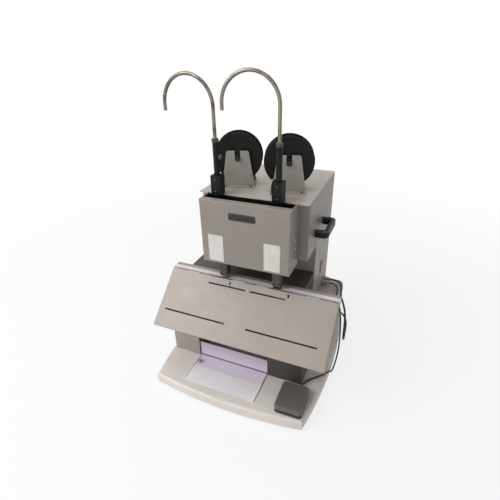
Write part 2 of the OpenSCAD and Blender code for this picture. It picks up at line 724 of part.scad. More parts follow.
// Rocker switch in the column's right cover
rocker_x = body_x - 2;
rocker_pin_d = 4;
rocker_tilt = 8;
switch_in = body_x - sheet - plate;
module rocker_pin(reach, d)
  rod_y(rocker_x, [switch_y - switch_w / 2 - reach, switch_y + switch_w / 2 + reach], switch_z, d);
module bezel_block(x, rim) box(x, [switch_y - switch_w / 2 - rim, switch_y + switch_w / 2 + rim],
  [switch_z - switch_h / 2 - rim, switch_z + switch_h / 2 + rim]);
module switch_bezel() color("black") difference() {
  union() {
    bezel_block([switch_in, body_x], bezel_rim - gap);
    bezel_block([body_x, body_x + 2], bezel_rim + 2);
  }
  bezel_block([switch_in + 1.5, body_x + 3], 0);
  rocker_pin(1.5 + gap, rocker_pin_d + 2 * run_fit);
}
module switch_rocker() color("red") {
  half = switch_h / 2 - 2;
  translate([rocker_x, switch_y, switch_z]) rotate([0, -rocker_tilt, 0]) rotate([90, 0, 0])
    linear_extrude(switch_w - 2 * gap, center = true)
    polygon([[-4.5, -half * 0.6], [4.5, -half], [2.5, 0], [4.5, half], [-4.5, half * 0.6]]);
  rocker_pin(1.5, rocker_pin_d);
}

// Drive line
motor_end = belt_x0 - 11;
motor_bore = 40;
module motor_shaft(d) rod_x([motor_end - motor_bore, belt_x1], motor_y, motor_z, d);
module motor() color("steelblue") difference() {
  union() {
    rod_x([motor_end - motor_l, motor_end], motor_y, motor_z, motor_d);
    box([motor_end - motor_l + 20, motor_end - 20], [motor_y - motor_d / 2 + 8, motor_y + motor_d / 2 - 8],
      [housing_top + plate, motor_z]);
  }
  motor_shaft(pulley_bore_d + 2 * run_fit);
}
module motor_pulley() color("silver") {
  rod_x([belt_x0, belt_x1], motor_y, motor_z, 2 * motor_pulley_r);
  rod_x([motor_end - motor_bore + gap, belt_x0], motor_y, motor_z, pulley_bore_d);
}
module belt_loop(extra) hull() {
  translate([shaft_y, shaft_z]) circle(shaft_pulley_r + extra, $fn = 96);
  translate([motor_y, motor_z]) circle(motor_pulley_r + extra, $fn = 96);
}
module drive_belt() color("black") translate([belt_x0 + 1, 0, 0]) rotate([90, 0, 90])
  linear_extrude(14) difference() {
    belt_loop(belt_t);
    belt_loop(gap);
  }
cam_d = 56;
cam_throw = 8;
module drive_shaft() color("silver") {
  rod_x([-frame_out - 4, belt_x1 + 3], shaft_y, shaft_z, shaft_d);
  rod_x([belt_x0, belt_x1], shaft_y, shaft_z, 2 * shaft_pulley_r);
  for (x = [-stitch_x, stitch_x]) rod_x([x - 7, x + 7], shaft_y, shaft_z - cam_throw, cam_d);
}
module shaft_bearings() color("silver") both_sides() difference() {
  rod_x([frame_in, frame_out], shaft_y, shaft_z, bearing_d);
  rod_x([frame_in - 1, frame_out + 1], shaft_y, shaft_z, shaft_d + 2 * run_fit);
}

// Foot pedal, laid on the base
pedal_x = 196;
pedal_y = -227;
pedal_floor = 4;
tread_t = 8;
tread_z = pedal_h - tread_t;
pedal_pin_y = pedal_d / 2 - 9;
pedal_pin_z = tread_z - 7;
lug_in = pedal_w / 2 - 16;
pedal_round = 10;
pedal_skirt = 2;
module pedal_place() translate([pedal_x, pedal_y, base_top]) rotate([0, 0, pedal_turn]) children();
module pedal_base() color("dimgray") pedal_place() difference() {
  union() {
    linear_extrude(pedal_floor) round_rect(pedal_w, pedal_d, pedal_round);
    box([pedal_round - pedal_w / 2, pedal_w / 2 - pedal_round], [pedal_d / 2 - 4, pedal_d / 2],
      [0, tread_z - 1]);
    both_sides() box([lug_in, pedal_w / 2 - 4], [pedal_d / 2 - 16, pedal_d / 2 - 4], [0, tread_z - 1]);
  }
  rod_x([-pedal_w, pedal_w], pedal_pin_y, pedal_pin_z, pedal_pin_d + 2 * run_fit);
}
module pedal_treadle() color("gray") pedal_place() difference() {
  union() {
    translate([0, 0, tread_z]) linear_extrude(tread_t) round_rect(pedal_w, pedal_d, pedal_round);
    translate([0, 0, tread_z - 6]) linear_extrude(6.1) difference() {
      round_rect(pedal_w, pedal_d, pedal_round);
      round_rect(pedal_w - 2 * pedal_skirt, pedal_d - 2 * pedal_skirt, pedal_round - pedal_skirt);
      translate([-pedal_w, pedal_d / 2 - pedal_round]) square([2 * pedal_w, pedal_d]);
    }
    both_sides() box([lug_in - gap - 10, lug_in - gap], [pedal_d / 2 - 16, pedal_d / 2 - 5],
      [pedal_pin_z - 5, tread_z]);
  }
  for (i = [0:7]) box([-pedal_w / 2 + 8, pedal_w / 2 - 8],
    [9 * i - pedal_d / 2 + 10, 9 * i - pedal_d / 2 + 13], [pedal_h - 1.2, pedal_h + 1]);
  rod_x([-pedal_w, pedal_w], pedal_pin_y, pedal_pin_z, pedal_pin_d + 2 * run_fit);
}
module pedal_pin() color("silver") pedal_place()
  rod_x([4 - pedal_w / 2, pedal_w / 2 - 4], pedal_pin_y, pedal_pin_z, pedal_pin_d);
spring_d = 1.6;
spring_r = 6;
spring_turns = 4;
spring_low = pedal_floor + gap + spring_d / 2;
spring_high = tread_z - gap - spring_d / 2;
spring_path = [for (i = [0:8 * spring_turns])
  [spring_r * cos(45 * i), spring_r * sin(45 * i) - 10,
    spring_low + (spring_high - spring_low) * i / (8 * spring_turns)]];
module pedal_spring() color("silver") pedal_place() tube(spring_path, spring_d, 6);

// Cords: the routes' points are chosen by hand, and their ends come from the pieces that they meet
cord_out = body_x + gland_l;
// The pedal's cord passes the right support on this line
cord_side = tray_right + side_gap + support_right_w + 6.5;
pedal_cord_in = [cord_side - pedal_x - 0.5, pedal_d / 2, 9];
function pedal_point(p) = [pedal_x + p[0] * cos(pedal_turn) - p[1] * sin(pedal_turn),
  pedal_y + p[0] * sin(pedal_turn) + p[1] * cos(pedal_turn), base_top + p[2]];
pedal_route = [[209.5, 227.6, 177.6], [219, 223.4, 176.2], [226, 215, 174.4], [230, 203.5, 172.6],
  [232, 189, 171], [234, 172, 169.8], [237.5, 154, 169.2], [243.5, 136.5, 168.4], [251.5, 120.5, 165],
  [259, 107.5, 156.5], [265, 97.5, 142.5], [269.2, 90, 122], [272, 84, 97], [274.2, 78, 70],
  [276, 69.5, 43], [276.8, 56, 21.5], [276.8, 37, 8], [276.6, 13, 4], [276, -12, 5], [276, -36, 14.5],
  [275.4, -56, 29.5], [271.8, -71, 40.5], [264, -83, 44], [254, -94.5, 42.7], [243, -106, 42.2],
  [231.5, -117.5, 41.8], [cord_side + 11, -129, 42.3], [cord_side + 4, -140, 43.8],
  [cord_side, -152.5, 45.5]];
mains_route = [[213, 254.4, 177.9], [225.2, 250, 176.8], [234.9, 241.3, 175.2], [241.2, 228.8, 173.6],
  [244.2, 212, 172.2], [246, 195, 171.2], [249, 178, 169.8], [254.5, 162.5, 166.5], [262.5, 149, 159.5],
  [270, 137, 148.5], [276, 127, 133], [279.6, 119, 112.5], [281.2, 113.5, 90.5], [281.8, 110.8, 68],
  [282, 111.5, 45], [282, 119, 25.5], [281.5, 133, 12], [280.5, 152, 5.5], [278.5, 178, 5],
  [276.5, 204, 5], [273, 232, 5], [265.5, 259.5, 5], [252, 283, 5], [230.5, 301.5, 5], [200, 312.5, 5],
  [160, 316, 5], [115, 316.2, 5]];
function led(start, route, end, along, d, steps) = concat([start],
  rounded(concat([start + [d, 0, 0]], route, [end - d * along]), steps), [end]);
pedal_cord_path = led([cord_out, gland_ys[0], gland_z], pedal_route, pedal_point(pedal_cord_in),
  [sin(pedal_turn), -cos(pedal_turn), 0], pedal_cord_d, 3);
module pedal_cord() color("black") tube(pedal_cord_path, pedal_cord_d, 8);
module cord_glands() color("silver") for (y = gland_ys) {
  rod_x([switch_in, body_x], y, gland_z, gland_d - 4 - 2 * gap);
  rod_x([body_x, body_x + gland_collar], y, gland_z, gland_d + 4);
  translate([body_x + gland_collar, y, gland_z]) rotate([0, 90, 0])
    cylinder(d1 = gland_d, d2 = mains_cord_d + 3, h = gland_l - gland_collar);
}

// Mains cord and the coil of its spare length, behind the machine
coil_at = [60, 367];
coil_pitch = mains_cord_d + 1.6;
coil_turns = 2.5;
coil_mid_r = 40;
coil_in_r = coil_mid_r - coil_pitch * coil_turns / 2;
coil_out_r = coil_mid_r + coil_pitch * coil_turns / 2;
coil_low = mains_cord_d / 2 + 1.5;
coil_layer = 360 * coil_turns;
coil_rings = 24;
// The loops spiral in, climb in the half turn where they reverse, and spiral out again
function coil_r(a) = a < coil_layer ? coil_out_r - coil_pitch * a / 360
  : a < coil_layer + 180 ? coil_in_r : coil_in_r + coil_pitch * (a - coil_layer - 180) / 360;
function coil_z(a) = a < coil_layer ? coil_low
  : a < coil_layer + 180 ? coil_low + coil_pitch * (1 - cos(a - coil_layer)) / 2 : coil_low + coil_pitch;
function coil_point(a) =
  [coil_at[0] + coil_r(a) * cos(-90 - a), coil_at[1] + coil_r(a) * sin(-90 - a), coil_z(a)];
coil_start = [coil_at[0] + mains_cord_d, coil_at[1] - coil_out_r, coil_low];
coil_lead = 52;
coil_end = [coil_at[0] + coil_lead, coil_at[1] + coil_out_r, coil_low + coil_pitch];
coil_last = (2 * coil_turns + 0.5) * coil_rings;
coil_path = concat([coil_start], [for (i = [0:coil_last]) coil_point(360 * i / coil_rings)],
  [for (x = [18, 36]) [coil_at[0] + x, coil_end[1], coil_end[2]]], [coil_end]);
mains_path = led([cord_out, gland_ys[1], gland_z], mains_route, coil_start, [-1, 0, 0], mains_cord_d, 2);
module mains_cord() color("black") tube(mains_path, mains_cord_d, 8);
module mains_coil() color("black") {
  echo(coil_gap = self_gap(coil_path, coil_rings / 2, mains_cord_d));
  tube(coil_path, mains_cord_d, 6);
}
tie_t = 1.2;
tie_w = 8;
tie_x = [coil_at[0] + coil_in_r - mains_cord_d / 2 - gap,
  coil_at[0] + coil_out_r - 0.75 * coil_pitch + mains_cord_d / 2 + gap];
tie_z = [coil_low - mains_cord_d / 2 - gap, coil_low + coil_pitch + mains_cord_d / 2 + gap];
module coil_tie() color("dimgray") difference() {
  box([tie_x[0] - tie_t, tie_x[1] + tie_t], [coil_at[1] - tie_w / 2, coil_at[1] + tie_w / 2],
    [tie_z[0] - tie_t, tie_z[1] + tie_t]);
  box(tie_x, [coil_at[1] - tie_w, coil_at[1] + tie_w], tie_z);
}
plug_l = 42;
plug_w = 26;
module mains_plug() color("black") {
  box([coil_end[0], coil_end[0] + plug_l], [coil_end[1] - plug_w / 2, coil_end[1] + plug_w / 2],
    [coil_end[2] - plug_w / 2, coil_end[2] + plug_w / 2]);
  for (y = [-7.6, 7.6])
    rod_x([coil_end[0] + plug_l, coil_end[0] + plug_l + 19], coil_end[1] + y, coil_end[2], 4.8);
}

base_shell();
base_plate();
rubber_feet();
rear_housing();
column_frame();
column_covers();
rear_cover();
saddle_arm();
throat_plate();
ridge_rail();
ruler_strip();
clinchers();
table_hinge_pin();
front_table();
table_support_left();
table_support_right();
catch_tray();
tray_knob();
head_frame();
main_housing();
top_plate();
front_cover();
wire_trough();
name_plate();
label_plates();
cover_screws();
stitch_heads();
former_left();
former_right();
reel_stands();
reel_axles();
spool_left();
spool_right();
wire_winding_left();
wire_winding_right();
guide_clamps();
guide_tube_left();
guide_tube_right();
thumb_screw();
tension_wheel();
handle_left();
handle_right();
switch_bezel();
switch_rocker();
motor();
motor_pulley();
drive_belt();
drive_shaft();
shaft_bearings();
control_board();
pedal_base();
pedal_treadle();
pedal_pin();
pedal_spring();
cord_glands();
pedal_cord();
mains_cord();
mains_coil();
coil_tie();
mains_plug();
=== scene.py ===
"""Looks of a twin head wire stitcher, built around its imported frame."""
import json
import math

import bmesh
import bpy
from mathutils import Matrix, Vector
from mathutils.bvhtree import BVHTree


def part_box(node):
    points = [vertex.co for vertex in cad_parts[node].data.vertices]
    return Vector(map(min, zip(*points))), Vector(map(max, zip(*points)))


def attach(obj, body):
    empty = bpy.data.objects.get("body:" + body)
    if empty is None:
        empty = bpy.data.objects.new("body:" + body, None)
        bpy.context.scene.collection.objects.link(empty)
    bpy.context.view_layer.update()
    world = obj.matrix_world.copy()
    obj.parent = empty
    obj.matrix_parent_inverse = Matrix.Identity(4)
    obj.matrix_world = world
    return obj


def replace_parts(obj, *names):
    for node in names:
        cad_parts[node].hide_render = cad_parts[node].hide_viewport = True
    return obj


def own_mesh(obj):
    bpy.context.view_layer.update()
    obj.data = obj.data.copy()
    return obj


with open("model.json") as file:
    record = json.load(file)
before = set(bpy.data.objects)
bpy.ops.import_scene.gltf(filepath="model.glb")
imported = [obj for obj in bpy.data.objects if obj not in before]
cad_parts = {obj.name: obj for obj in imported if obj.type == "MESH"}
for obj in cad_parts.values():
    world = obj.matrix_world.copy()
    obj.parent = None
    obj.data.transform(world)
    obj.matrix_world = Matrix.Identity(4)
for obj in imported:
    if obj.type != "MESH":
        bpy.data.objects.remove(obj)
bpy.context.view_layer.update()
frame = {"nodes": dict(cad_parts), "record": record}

bl_info = {
    "name": "Wire stitcher looks",
    "version": (1, 0, 0),
    "blender": (4, 5, 0),
    "location": "View3D > Sidebar > Stitcher",
    "description": "Paints and details the pieces of a bench wire stitcher",
    "category": "Object",
}

NODES = frame["nodes"]
BODY_OF = {node: body for body, nodes in frame["record"]["behaviour"]["bodies"].items() for node in nodes}
SLOT_OF = {part["node"]: part["material_slot"] for part in frame["record"]["subparts"]}
MM = 0.001
AXIS_X, AXIS_Y, AXIS_Z = Vector((1, 0, 0)), Vector((0, 1, 0)), Vector((0, 0, 1))
SIDES = {-1: "left", 1: "right"}


def mm(*values):
    """A point or a size given in millimetres."""
    return Vector(values) * MM


def paint_rgb(red, green, blue):
    """A colour written in screen values from 0 to 255, as the linear values that shaders take."""
    def linear(value):
        value /= 255
        return value / 12.92 if value <= 0.04045 else ((value + 0.055) / 1.055) ** 2.4
    return tuple(linear(value) for value in (red, green, blue))


# Sizes and colours that a user would change

def size(name, text, default_mm):
    return bpy.props.FloatProperty(name=name, description=text, default=default_mm * MM, unit="LENGTH",
                                   min=0.0, precision=5)


def colour(name, text, *screen):
    return bpy.props.FloatVectorProperty(name=name, description=text, default=paint_rgb(*screen),
                                         subtype="COLOR", min=0.0, max=1.0)


class StitcherSizes(bpy.types.PropertyGroup):
    base_round: size("Base rim", "Radius of the rim round the base's top", 9)
    housing_round: size("Housing edges", "Radius of the low housing's upper edges", 7)
    sheet_round: size("Sheet edges", "Radius of bent sheet metal edges", 1.1)
    fold_round: size("Folds", "Radius of the folds of the sloped table", 2.2)
    casting_round: size("Casting edges", "Radius of the edges of machined blocks", 0.8)
    wire_d: size("Wire", "Diameter of the stitching wire on the reels", 1.15)
    pedal_cord_d: size("Pedal cord", "Diameter of the pedal's cord", 5)
    mains_cord_d: size("Mains cord", "Diameter of the mains cord", 7)


class StitcherColours(bpy.types.PropertyGroup):
    base: colour("Base", "Paint of the base", 232, 225, 219)
    beige: colour("Covers", "Paint of the column's covers and the ridge rail", 162, 154, 145)
    table: colour("Table", "Paint of the sloped table", 174, 164, 156)
    light: colour("Top plate", "Paint of the head's top plate and the low housing", 190, 179, 171)
    cover: colour("Front cover", "Paint of the head's front cover and housing", 148, 141, 134)
    column: colour("Column", "Paint of the column's frame", 162, 155, 148)
    dark: colour("Heads", "Paint of the stitching heads, the arm and the right box", 72, 68, 64)
    stand: colour("Reel stands", "Paint of the reel stands and the left box", 166, 161, 154)
    pedal: colour("Pedal", "Hammered paint of the foot pedal", 100, 97, 93)
    grey: colour("Grey plastic", "Strain reliefs of the cords", 176, 171, 165)
    black: colour("Black plastic", "Reels, handles and trough", 13, 12, 12)
    cord: colour("Cords", "Rubber of the cords and the feet", 40, 38, 36)
    tray: colour("Tray", "Catch tray", 250, 247, 250)
    # Colour of the painted shadow that the table casts on the tray's rear and back wall
    tray_shade: colour("Tray's wall", "Tinted back of the catch tray", 224, 213, 230)
    motor: colour("Motor", "Paint of the motor", 74, 88, 102)
    board: colour("Board", "Lacquer of the control board", 28, 84, 52)
    switch: colour("Switch", "Rocker of the switch", 168, 32, 28)


def sizes():
    return bpy.context.scene.stitcher_sizes


def colours():
    return bpy.context.scene.stitcher_colours


# Finishes: each is one node tree on object coordinates

FINISHES = {}
OWN_FINISH = {"ruler_strip": "ruler_print", "catch_tray": "tray_gloss", "label_plates": "label_print",
              "name_plate": "name_print", "column_frame": "column_paint", "reel_axles": "black_gloss",
              "thumb_screw": "dark_steel"}
SHEET_PAINTS = {"base": 0.4, "light": 0.4, "beige": 0.42, "table": 0.4, "cover": 0.44, "column": 0.46,
                "dark": 0.46, "stand": 0.42}
HAMMERED_PAINTS = ("pedal", "motor")
LABEL_HALF = 24.5 * MM


class Tree:
    """A shader tree under construction."""

    def __init__(self, owner):
        owner.use_nodes = True
        self.nodes, self.links = owner.node_tree.nodes, owner.node_tree.links

    def feed(self, socket, value):
        """Links a socket, or sets it where the value is a number or a colour."""
        if isinstance(value, bpy.types.NodeSocket):
            self.links.new(value, socket)
        elif isinstance(value, (int, float)):
            socket.default_value = value
        else:
            socket.default_value = (*tuple(value)[:3], 1.0)

    def fill(self, node, **inputs):
        for name, value in inputs.items():
            self.feed(node.inputs[name.replace("_", " ")], value)
        return node

    def node(self, kind, **inputs):
        return self.fill(self.nodes.new("ShaderNode" + kind), **inputs)

    def calc(self, kind, first, second=0.0):
        node = self.node("Math")
        node.operation = kind
        self.feed(node.inputs[0], first)
        self.feed(node.inputs[1], second)
        return node.outputs["Value"]

    def ramp(self, value, low, high, out_low=0.0, out_high=1.0):
        return self.node("MapRange", Value=value, From_Min=low, From_Max=high, To_Min=out_low,
                         To_Max=out_high).outputs["Result"]

    def seen_directly(self):
        rays = self.node("LightPath")
        total = rays.outputs["Is Camera Ray"]
        for name in ("Is Glossy Ray", "Is Transmission Ray"):
            total = self.calc("MAXIMUM", total, rays.outputs[name])
        return total

    def blend(self, share, first, second, end):
        """Mixes two shaders into the tree's end."""
        mixed = self.node("MixShader")
        for socket, value in zip(mixed.inputs, (share, first.outputs[0], second.outputs[0])):
            self.feed(socket, value)
        self.fill(self.nodes[end], Surface=mixed.outputs[0])


class Finish(Tree):
    """A material under construction."""

    def __init__(self, name):
        self.name, self.material = name, bpy.data.materials.new(name)
        super().__init__(self.material)
        self.place = self.node("TexCoord").outputs["Object"]

    def stretched(self, scale, turn=(0, 0, 0)):
        mapping = self.node("Mapping", Vector=self.place)
        mapping.inputs["Scale"].default_value = scale
        mapping.inputs["Rotation"].default_value = turn
        return mapping.outputs["Vector"]

    def noise(self, scale, detail=3.0, roughness=0.55, where=None):
        return self.node("TexNoise", Vector=where or self.place, Scale=scale, Detail=detail,
                         Roughness=roughness).outputs["Fac"]

    def cells(self, scale, feature="F1"):
        node = self.node("TexVoronoi", Vector=self.place, Scale=scale)
        node.feature = feature
        return node.outputs["Distance"]

    def vary(self, scale, low, high):
        """A value that wanders between two limits."""
        return self.ramp(self.noise(scale), 0.3, 0.7, low, high)

    def axis(self, name):
        return self.node("SeparateXYZ", Vector=self.place).outputs[name]

    def mix(self, factor, first, second):
        node = self.node("Mix")
        node.data_type = "RGBA"
        for index, value in ((0, factor), (6, first), (7, second)):
            self.feed(node.inputs[index], value)
        return node.outputs[2]

    def patches(self, scale, detail, low, high, first, second, most=1.0, roughness=0.55):
        """A colour with soft patches of a second one."""
        return self.mix(self.ramp(self.noise(scale, detail, roughness), low, high, 0.0, most), first, second)

    def bump(self, height, distance, strength=0.5):
        return self.node("Bump", Height=height, Distance=distance, Strength=strength).outputs["Normal"]

    def stripe(self, value, half, soft, middle=0.0):
        """One on a stripe of a value and none outside it."""
        away = self.calc("ABSOLUTE", self.calc("SUBTRACT", value, middle))
        return self.ramp(away, half + soft, half)

    def comb(self, value, per_metre, half, soft):
        """Stripes that repeat along a value."""
        return self.stripe(self.calc("FRACT", self.calc("MULTIPLY", value, per_metre)), half, soft, 0.5)

    def done(self, base, roughness, normal, metallic=0.0, **more):
        self.fill(self.nodes["Principled BSDF"], Base_Color=base, Roughness=roughness, Normal=normal,
                  Metallic=metallic, **more)
        FINISHES[self.name] = self.material


def scaled(tint, factor):
    return tuple(min(1.0, shade_trough * factor) for shade_trough in tuple(tint)[:3])


def sheet_paint(name, tint, roughness):
    """Stoved paint on sheet metal: fine orange peel, faint clouds, handling marks and a few specks."""
    f = Finish(name)
    clouds = f.patches(9, 4, 0.35, 0.68, scaled(tint, 0.95), scaled(tint, 1.04))
    handled = f.patches(38, 5, 0.6, 0.8, clouds, scaled(tint, 0.82), 0.3, 0.65)
    dots = f.calc("MULTIPLY", f.ramp(f.cells(420), 0.1, 0.05), f.ramp(f.noise(30), 0.52, 0.62, 0.0, 0.35))
    dotted = f.mix(dots, handled, scaled(tint, 0.45))
    f.done(dotted, f.vary(55, roughness - 0.06, roughness + 0.1), f.bump(f.noise(1500, 2), 0.00006, 0.6))


def rubbed_edge(name, tint, below, share=0.5):
    """Paint or plastic along an edge that hands and sheets rub: polished, paler, and worn through in spots."""
    f = Finish(name)
    polished = f.patches(60, 4, 0.35, 0.65, tint, scaled(tint, 1.3))
    spots = f.ramp(f.noise(170, 5, 0.65), 0.55, 0.66, 0.0, share)
    f.done(f.mix(spots, polished, below), f.vary(90, 0.26, 0.46), f.bump(spots, 0.00005))


def hammered_paint(name, tint):
    """Hammered paint with small round dimples."""
    f = Finish(name)
    dimples = f.cells(330, "SMOOTH_F1")
    clouds = f.patches(16, 4, 0.35, 0.7, scaled(tint, 0.85), scaled(tint, 1.12))
    spotted = f.mix(f.ramp(dimples, 0.0, 0.5), scaled(tint, 1.15), clouds)
    f.done(spotted, f.vary(60, 0.42, 0.6), f.bump(dimples, 0.0006))


def moulded_plastic(name, tint, roughness, grain=0.00008, scratches=0.25, shine=0.5):
    """Moulded plastic with a spark eroded grain, paler scuffs and fine scratches."""
    f = Finish(name)
    lines = f.noise(260, 2, 0.5, f.stretched((1, 0.06, 1), (0.3, 0.2, 0.6)))
    scuffs = f.calc("MULTIPLY", f.ramp(lines, 0.62, 0.7, 0.0, scratches), f.ramp(f.noise(22), 0.5, 0.66))
    body = f.patches(14, 4, 0.35, 0.7, scaled(tint, 0.9), scaled(tint, 1.15))
    marked = f.mix(scuffs, body, scaled(tint, 3.0))
    f.done(marked, f.vary(75, roughness - 0.08, roughness + 0.1), f.bump(f.noise(2400, 2), grain),
           Specular_IOR_Level=shine)


def brushed_steel(name, tint, along=(0.02, 1, 1), roughness=0.34):
    """Ground steel: long fine lines along one direction, and a little tarnish."""
    f = Finish(name)
    lines = f.noise(1800, 2, 0.6, f.stretched(along))
    stained = f.patches(42, 5, 0.52, 0.74, tint, scaled(tint, 0.6), roughness=0.6)
    lined = f.mix(f.ramp(lines, 0.35, 0.65), scaled(tint, 0.86), stained)
    rough = f.ramp(f.calc("ADD", lines, f.noise(36)), 0.7, 1.3, roughness - 0.1, roughness + 0.16)
    f.done(lined, rough, f.bump(lines, 0.00003), metallic=1.0)


def tube_chrome(name):
    """Drawn and plated tube: bright, with faint draw lines and dull tarnished patches."""
    f = Finish(name)
    bright, dull = paint_rgb(124, 117, 106), paint_rgb(68, 61, 52)
    tarnish = f.ramp(f.noise(34, 6, 0.65), 0.48, 0.7)
    pits = f.calc("MULTIPLY", f.ramp(f.cells(700), 0.16, 0.08), f.ramp(f.noise(60), 0.5, 0.6, 0.0, 0.6))
    spotted = f.mix(pits, bright, scaled(dull, 0.5))
    f.done(f.mix(tarnish, spotted, dull), f.ramp(tarnish, 0.0, 1.0, 0.16, 0.4),
           f.bump(f.noise(900, 2), 0.00003, 0.4), metallic=1.0)


def wire_steel(name):
    """Galvanised stitching wire, dusty in places."""
    f = Finish(name)
    zinc = f.patches(260, 3, 0.38, 0.66, paint_rgb(150, 148, 144), paint_rgb(198, 196, 190))
    dusty = f.patches(30, 4, 0.55, 0.75, zinc, paint_rgb(104, 96, 84), 0.5)
    f.done(dusty, f.vary(140, 0.24, 0.42), f.bump(f.noise(2600, 1), 0.00002), metallic=1.0)


def soft_rubber(name, tint, roughness):
    """Rubber with a dull bloom, dust and a fine moulded skin."""
    f = Finish(name)
    bloom = f.patches(26, 5, 0.42, 0.72, tint, scaled(tint, 1.7), roughness=0.6)
    dust = f.patches(210, 4, 0.6, 0.76, bloom, paint_rgb(120, 114, 106), 0.35)
    f.done(dust, f.vary(48, roughness - 0.08, roughness + 0.12), f.bump(f.noise(1700, 3), 0.00007))


def ruler_print(name):
    """White enamel strip with lilac marks every 5 mm, longer every 10 mm."""
    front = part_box("ruler_strip")[0].y
    f = Finish(name)
    x, from_front = f.axis("X"), f.calc("SUBTRACT", f.axis("Y"), front)
    fine, coarse = f.comb(x, 1 / (5 * MM), 0.09, 0.03), f.comb(x, 1 / (10 * MM), 0.06, 0.02)
    fine = f.calc("MULTIPLY", fine, f.ramp(from_front, 6.2 * MM, 6 * MM))
    coarse = f.calc("MULTIPLY", coarse, f.ramp(from_front, 10.2 * MM, 10 * MM))
    ground = f.patches(28, 4, 0.4, 0.72, paint_rgb(244, 241, 246), paint_rgb(232, 228, 236))
    worn = f.calc("MULTIPLY", f.calc("MAXIMUM", fine, coarse), f.ramp(f.noise(120, 3), 0.3, 0.5, 0.35, 1.0))
    inked = f.mix(worn, ground, paint_rgb(204, 196, 214))
    f.done(inked, f.vary(60, 0.3, 0.42), f.bump(f.noise(1200), 0.00003))


def plate_print(name, ground, line, middle, half_x, half_z, fold=None):
    """Blank plate with a faint line round it. A fold lays two plates over each other."""
    inset, width = 2.2 * MM, 0.7 * MM
    f = Finish(name)
    u, v = f.calc("SUBTRACT", f.axis("X"), middle.x), f.calc("SUBTRACT", f.axis("Z"), middle.z)
    if fold is not None:
        u = f.calc("SUBTRACT", f.calc("ABSOLUTE", u), fold)
    past = [f.calc("SUBTRACT", f.calc("ABSOLUTE", value), half - inset) for value, half in ((u, half_x), (v, half_z))]
    rim = f.stripe(f.calc("MAXIMUM", *past), width / 2, width / 4)
    clouds = f.patches(34, 4, 0.38, 0.7, ground, scaled(ground, 0.9))
    grime = f.patches(90, 5, 0.6, 0.78, clouds, scaled(ground, 0.72), 0.4, 0.65)
    f.done(f.mix(rim, grime, line), f.vary(70, 0.28, 0.44), f.bump(f.noise(1100), 0.00003))


def tray_finish(name):
    """Glossy white tray, with the table's shadow painted over its rear and its back wall, and painted shade as a dark
    line along the fold at the back.
    """
    low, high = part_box("catch_tray")
    f = Finish(name)
    # tint here is the colour of the painted shadow
    white, tint = colours().tray, colours().tray_shade
    from_back, up = f.calc("SUBTRACT", high.y, f.axis("Y")), f.calc("SUBTRACT", f.axis("Z"), low.z)
    ground = f.patches(12, 3, 0.4, 0.7, scaled(white, 1.02), scaled(white, 0.95))
    # Painted shadow of the table: the rear of the floor turns lavender
    rear_painted_shadow = f.mix(f.ramp(from_back, 58 * MM, 50 * MM, 0.0, 0.85), ground, scaled(tint, 1.06))
    # Painted shadow on the back wall, darker from 6 mm up to 50 mm above the floor
    wall_painted_shadow = f.mix(f.ramp(up, 6 * MM, 50 * MM), rear_painted_shadow, scaled(tint, 0.8))
    # Painted shade in the crease: a dark line along the fold between floor and wall
    fold = f.calc("MULTIPLY", f.ramp(from_back, 4.5 * MM, 3 * MM), f.ramp(up, 6 * MM, 4.5 * MM))
    lined = f.mix(f.calc("MULTIPLY", fold, 0.9), wall_painted_shadow, paint_rgb(112, 94, 134))
    f.done(lined, f.vary(40, 0.24, 0.4), f.bump(f.noise(900), 0.00004, 0.4))


def board_lacquer(name, tint):
    """Green lacquer with fine copper lines under it."""
    f = Finish(name)
    broken = f.calc("MULTIPLY", f.comb(f.axis("X"), 220, 0.16, 0.05), f.ramp(f.noise(60, 1), 0.45, 0.55))
    f.done(f.mix(broken, tint, scaled(tint, 2.0)), f.vary(50, 0.3, 0.45), f.bump(broken, 0.00008, 0.6))


def make_finishes():
    tint = colours()
    for word, roughness in SHEET_PAINTS.items():
        sheet_paint(f"{word}_paint", getattr(tint, word), roughness)
    for word in HAMMERED_PAINTS:
        hammered_paint(f"{word}_paint", getattr(tint, word))
    for word in (*SHEET_PAINTS, *HAMMERED_PAINTS):
        rubbed_edge(f"{word}_paint_edge", getattr(tint, word), paint_rgb(128, 122, 114))
    brushed_steel("bare_steel", paint_rgb(176, 173, 168))
    brushed_steel("dark_steel", paint_rgb(84, 80, 75), (1, 1, 0.02), 0.42)
    tube_chrome("tube_chrome")
    wire_steel("wire_steel")
    moulded_plastic("black_plastic", tint.black, 0.46, shine=0.22)
    rubbed_edge("black_plastic_edge", tint.black, paint_rgb(66, 63, 60), 0.35)
    moulded_plastic("grey_plastic", tint.grey, 0.44)
    moulded_plastic("black_gloss", tint.black, 0.26, 0.00003, shine=0.35)
    moulded_plastic("red_plastic", tint.switch, 0.28, 0.00003, 0.1)
    moulded_plastic("white_plastic", tint.tray, 0.36, 0.00004, 0.05)
    soft_rubber("foot_rubber", tint.cord, 0.74)
    soft_rubber("cord_rubber", tint.cord, 0.66)
    board_lacquer("board_green", tint.board)
    ruler_print("ruler_print")
    tray_finish("tray_gloss")
    low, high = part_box("name_plate")
    half = (high - low) / 2
    plate_print("name_print", paint_rgb(26, 24, 22), paint_rgb(84, 81, 77), low + half, half.x, half.z)
    low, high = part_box("label_plates")
    half = (high - low) / 2
    plate_print("label_print", paint_rgb(228, 224, 220), paint_rgb(204, 199, 195), low + half, LABEL_HALF, half.z,
                fold=half.x - LABEL_HALF)


def finishes_of(node):
    """The finish of a node's faces, and the one of its rubbed edges where it has one."""
    name = OWN_FINISH.get(node, SLOT_OF[node])
    edge = FINISHES.get(name + "_edge")
    return [FINISHES[name], edge] if edge else [FINISHES[name]]


# Work at the bench: selecting, editing and settling pieces

